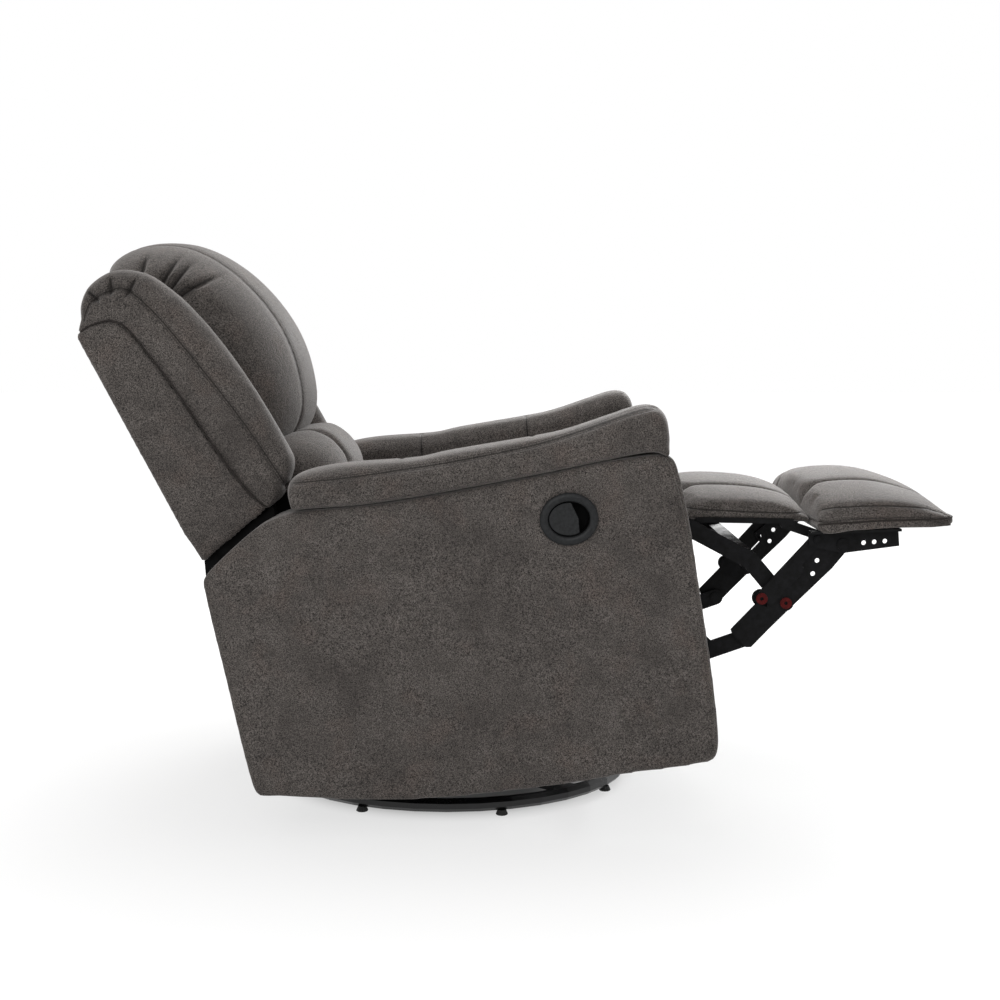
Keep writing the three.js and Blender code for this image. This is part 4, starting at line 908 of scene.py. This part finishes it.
middlePad = {
    "base": [(414, 431), (510, 422), (622, 411)],
    "crown": [(411, 436), (409, 463), (416, 478), (434, 483), (470, 483), (505, 479), (540, 473),
              (568, 465), (590, 455), (608, 443), (621, 430), (624, 418)],
    "half": 204, "along": 70, "around": 110, "edge": 0.36, "upper": 1.66, "lower": 7.0,
    "draw": 0.004, "squat": 3.0,
    "channels": (-108, 108), "channelDepth": 0.045, "channelWidth": 11.0,
}
mainPad = {
    "base": [(619, 414.5), (720, 411), (842, 405.5)],
    "crown": [(619, 419), (612, 432), (609, 446), (614, 460), (628, 470), (650, 476), (685, 477),
              (720, 474), (752, 466), (782, 454), (808, 441), (830, 427), (842, 415), (843, 406)],
    "half": 261, "along": 90, "around": 130, "edge": 0.27, "upper": 1.54, "lower": 7.0,
    "draw": 0.008, "squat": 3.4,
    "channels": (-126, 126), "channelDepth": 0.035, "channelWidth": 11.0, "nose": (844.0, 42.0),
}
mainSeam = [(617, 430), (641, 437), (668, 438), (731, 435), (791, 426), (814, 418), (844, 409)]
middleSeam = [(410, 452), (475, 443), (544, 434), (624, 426)]
mainWelt = [(621, 414.5), (720, 413), (800, 409), (838, 407)]
footPads = {"swell": {"cap": 6, "hold": (5, 30), "shrink": -0.02, "pressure": 2.5, "voxel": 0.006},
            "channelsOver": 22, "channelPress": (2.6, 5.5), "seamInset": 24, "seamPress": (1.6, 3.5)}


def makeFootPad(name, pad, node, body, seam):
    piece = swollen(padPiece(name, pad), {**pad, **footPads})
    base = smoothLine(pad["base"], 20)

    def onTop(level):
        return lineDistance(level[:, [0, 2]], base)[0] > footPads["channelsOver"]
    lines = [lengthLine(y, onTop) for y in pad["channels"]]
    sides = [sideLine(seam, side, pad["half"] - footPads["seamInset"]) for side in (-1, 1)]
    pressed(piece, lines, *footPads["channelPress"])
    pressed(piece, sides, *footPads["seamPress"])
    storeLines(piece, seamsAndFoldShades=sides, stitches=lines)
    return dressed(piece, body, node)


board = {"loop": [(631, 398.5), (621, 406), (621, 418), (700, 417.5), (800, 413), (838, 411), (844, 407),
                  (844, 399), (837, 393.5), (741, 399.5), (675, 400.5), (645, 397.5)],
         "half": 259.0, "voxel": 0.0045, "rounds": 2}
footCord = {"radius": 1.5, "inset": 2.0, "sides": 8}


def makeFootBoard():  # the covered board, flush with the pad that is sewn round it
    piece = barPiece("footBoard", board)
    storeLines(piece)
    return dressed(piece, "footrest", "footrest_board")


def makeFootWelt():  # cord round the foot of the main pad, over the board, round both front corners
    front, radius = mainPad["nose"]
    turn = np.linspace(0, math.pi / 2, 14)
    bend = radius - footCord["inset"]
    corner = (front - radius, mainPad["half"] - radius) + bend * np.stack([np.sin(turn), np.cos(turn)], -1)
    outline = np.vstack([[mainWelt[0][0], corner[0, 1]], corner])
    outline = evenSteps(np.vstack([outline * (1, -1), outline[::-1]]), 170)
    z = np.interp(outline[:, 0], *np.array(mainWelt, float).T)
    path = np.stack([outline[:, 0], outline[:, 1], z], -1)
    piece = tubePiece("footWelt", path, footCord["radius"], footCord["sides"])
    storeLines(piece)
    return dressed(piece, "footrest", material=weltDark)


makeHeadPillow()
print("head pillow made")
makeLumbarPillow()
for side in (-1, 1):
    makeWing(side)
    makeArmPad(side)
    makeArmPanel(side)
    makePanelWelt(side)
makeBezelLip()
print("arms and wings made")
makeBackShell()
for side in (-1, 1):
    makeLiner(side)
    makeShellWelt(side)
    makeShoulderLiner(side)
makeRearFlap()
makeBackCrest()
makeRearPanel()
makeDeckCloth()
makeSeatCushion()
makeFootPad("middlePad", middlePad, "middle_pad", "main_links", middleSeam)
makeFootPad("footrestPad", mainPad, "footrest_pad", "footrest", mainSeam)
makeFootBoard()
makeFootWelt()
print("pads made")


# Floor, background, lamps and camera. The floor shines by itself, by a glow that holds a painted shadow:
# each row runs from its third to its fourth value between two distances from the ring's axis in m, so the
# glow is nearly none under the chair and rises away from it. fill is the light of the world.
studio = {"floorSize": 40.0, "white": (0.96, 0.96, 0.955, 1), "roughness": 0.7, "specular": 0.1,
          "glowWithPaintedShadow": ((0.19, 0.33, 0.05, 1.0), (0.33, 1.6, 0.0, 0.26)), "glowShare": 0.72, "fill": 0.42}


def makeFloor():
    s = studio["floorSize"] / 2
    corners = np.array([(-s, -s, 0), (s, -s, 0), (s, s, 0), (-s, s, 0)], float)
    floor = meshFromArrays("floor", corners, [[0, 1, 2, 3]])
    material, nodes, links, shader = newMaterial("pale_floor_painted_shadow")
    w = Wires(nodes, links)
    shader.inputs["Base Color"].default_value = studio["white"]
    shader.inputs["Roughness"].default_value = studio["roughness"]
    shader.inputs["Specular IOR Level"].default_value = studio["specular"]
    place = w.add("ShaderNodeTexCoord").outputs["Object"]
    centred = w.vector("SUBTRACT", {0: place, 1: (tip["axisX"], 0, 0)})
    away = w.vector("LENGTH", {0: centred}, "Value")
    steps = []
    for low, high, start, end in studio["glowWithPaintedShadow"]:
        ends = {"Value": away, "From Min": low, "From Max": high, "To Min": start, "To Max": end}
        steps.append(w.add("ShaderNodeMapRange", ends, interpolation_type="SMOOTHSTEP").outputs[0])
    # Painted shadow: the glow is nearly none under the chair and rises away from it
    glowWithPaintedShadow = w.math("ADD", steps[0], steps[1])
    white = w.add("ShaderNodeEmission", {"Color": (1, 1, 1, 1), "Strength": glowWithPaintedShadow}).outputs[0]
    rays = w.add("ShaderNodeLightPath")
    seen = w.math("MAXIMUM", rays.outputs["Is Camera Ray"], rays.outputs["Is Glossy Ray"])
    seen = w.math("MULTIPLY", seen, studio["glowShare"])
    mixed = w.add("ShaderNodeMixShader", {0: seen, 1: shader.outputs[0], 2: white})
    output = next(n for n in nodes if n.type == "OUTPUT_MATERIAL")
    links.new(mixed.outputs[0], output.inputs["Surface"])
    floor.data.materials.append(material)


def makeWorld():  # white where it is seen straight or mirrored, and a grey fill for the rest
    world = bpy.data.worlds.new("studio")
    scene.world = world
    world.use_nodes = True
    nodes, links = world.node_tree.nodes, world.node_tree.links
    w = Wires(nodes, links)
    background = next(n for n in nodes if n.type == "BACKGROUND")
    background.inputs["Color"].default_value = (1, 1, 1, 1)
    rays = w.add("ShaderNodeLightPath")
    seen = w.math("MAXIMUM", rays.outputs["Is Camera Ray"], rays.outputs["Is Glossy Ray"])
    seen = w.math("MAXIMUM", seen, rays.outputs["Is Transmission Ray"])
    links.new(w.band(seen, 0, 1, studio["fill"], 1.0), background.inputs["Strength"])


lamps = {
    "overhead": {"at": (-0.7, 0.7, 3.1), "to": (0.0, 0.0, 0.5), "size": (1.8, 1.8), "watts": 42},
    "frontFill": {"at": (-0.6, -3.7, 2.0), "to": (0.0, 0.0, 0.4), "size": (2.6, 2.0), "watts": 42},
    "rearKey": {"at": (0.9, 3.3, 1.75), "to": (0.25, 0.0, 0.5), "size": (1.6, 1.6), "watts": 72},
    "footKey": {"at": (1.0, 1.7, 1.6), "to": (0.52, 0.0, 0.45), "size": (0.6, 0.6), "watts": 2.1,
                "spreadDeg": 44},
}


def makeLamp(name, spec):
    data = bpy.data.lights.new(name, "AREA")
    data.shape = "RECTANGLE"
    data.size, data.size_y = spec["size"]
    data.energy = spec["watts"]
    data.spread = math.radians(spec.get("spreadDeg", 180))
    lamp = bpy.data.objects.new(name, data)
    scene.collection.objects.link(lamp)
    lamp.location = spec["at"]
    way = Vector(spec["to"]) - Vector(spec["at"])
    lamp.rotation_euler = way.to_track_quat("-Z", "Y").to_euler()


# The focal length is in pixels of a picture that is widthPx wide, and ahead is in mm from the ring's axis
eye = {"ahead": 84.5, "y": -2.90, "z": 0.757, "pitchDeg": 5.53, "focusPx": 1682.0, "widthPx": 1000,
       "sensorMm": 36.0}


def makeCamera():
    data = bpy.data.cameras.new("camera")
    data.sensor_width = eye["sensorMm"]
    data.lens = eye["focusPx"] / eye["widthPx"] * eye["sensorMm"]
    camera = bpy.data.objects.new("camera", data)
    scene.collection.objects.link(camera)
    camera.location = (tip["axisX"] + eye["ahead"] / 1000, eye["y"], eye["z"])
    camera.rotation_euler = (math.radians(90 - eye["pitchDeg"]), 0, 0)
    scene.camera = camera


makeFloor()
makeWorld()
for name, spec in lamps.items():
    makeLamp(name, spec)
makeCamera()
scene.view_settings.view_transform = "Standard"

print("scene ready")
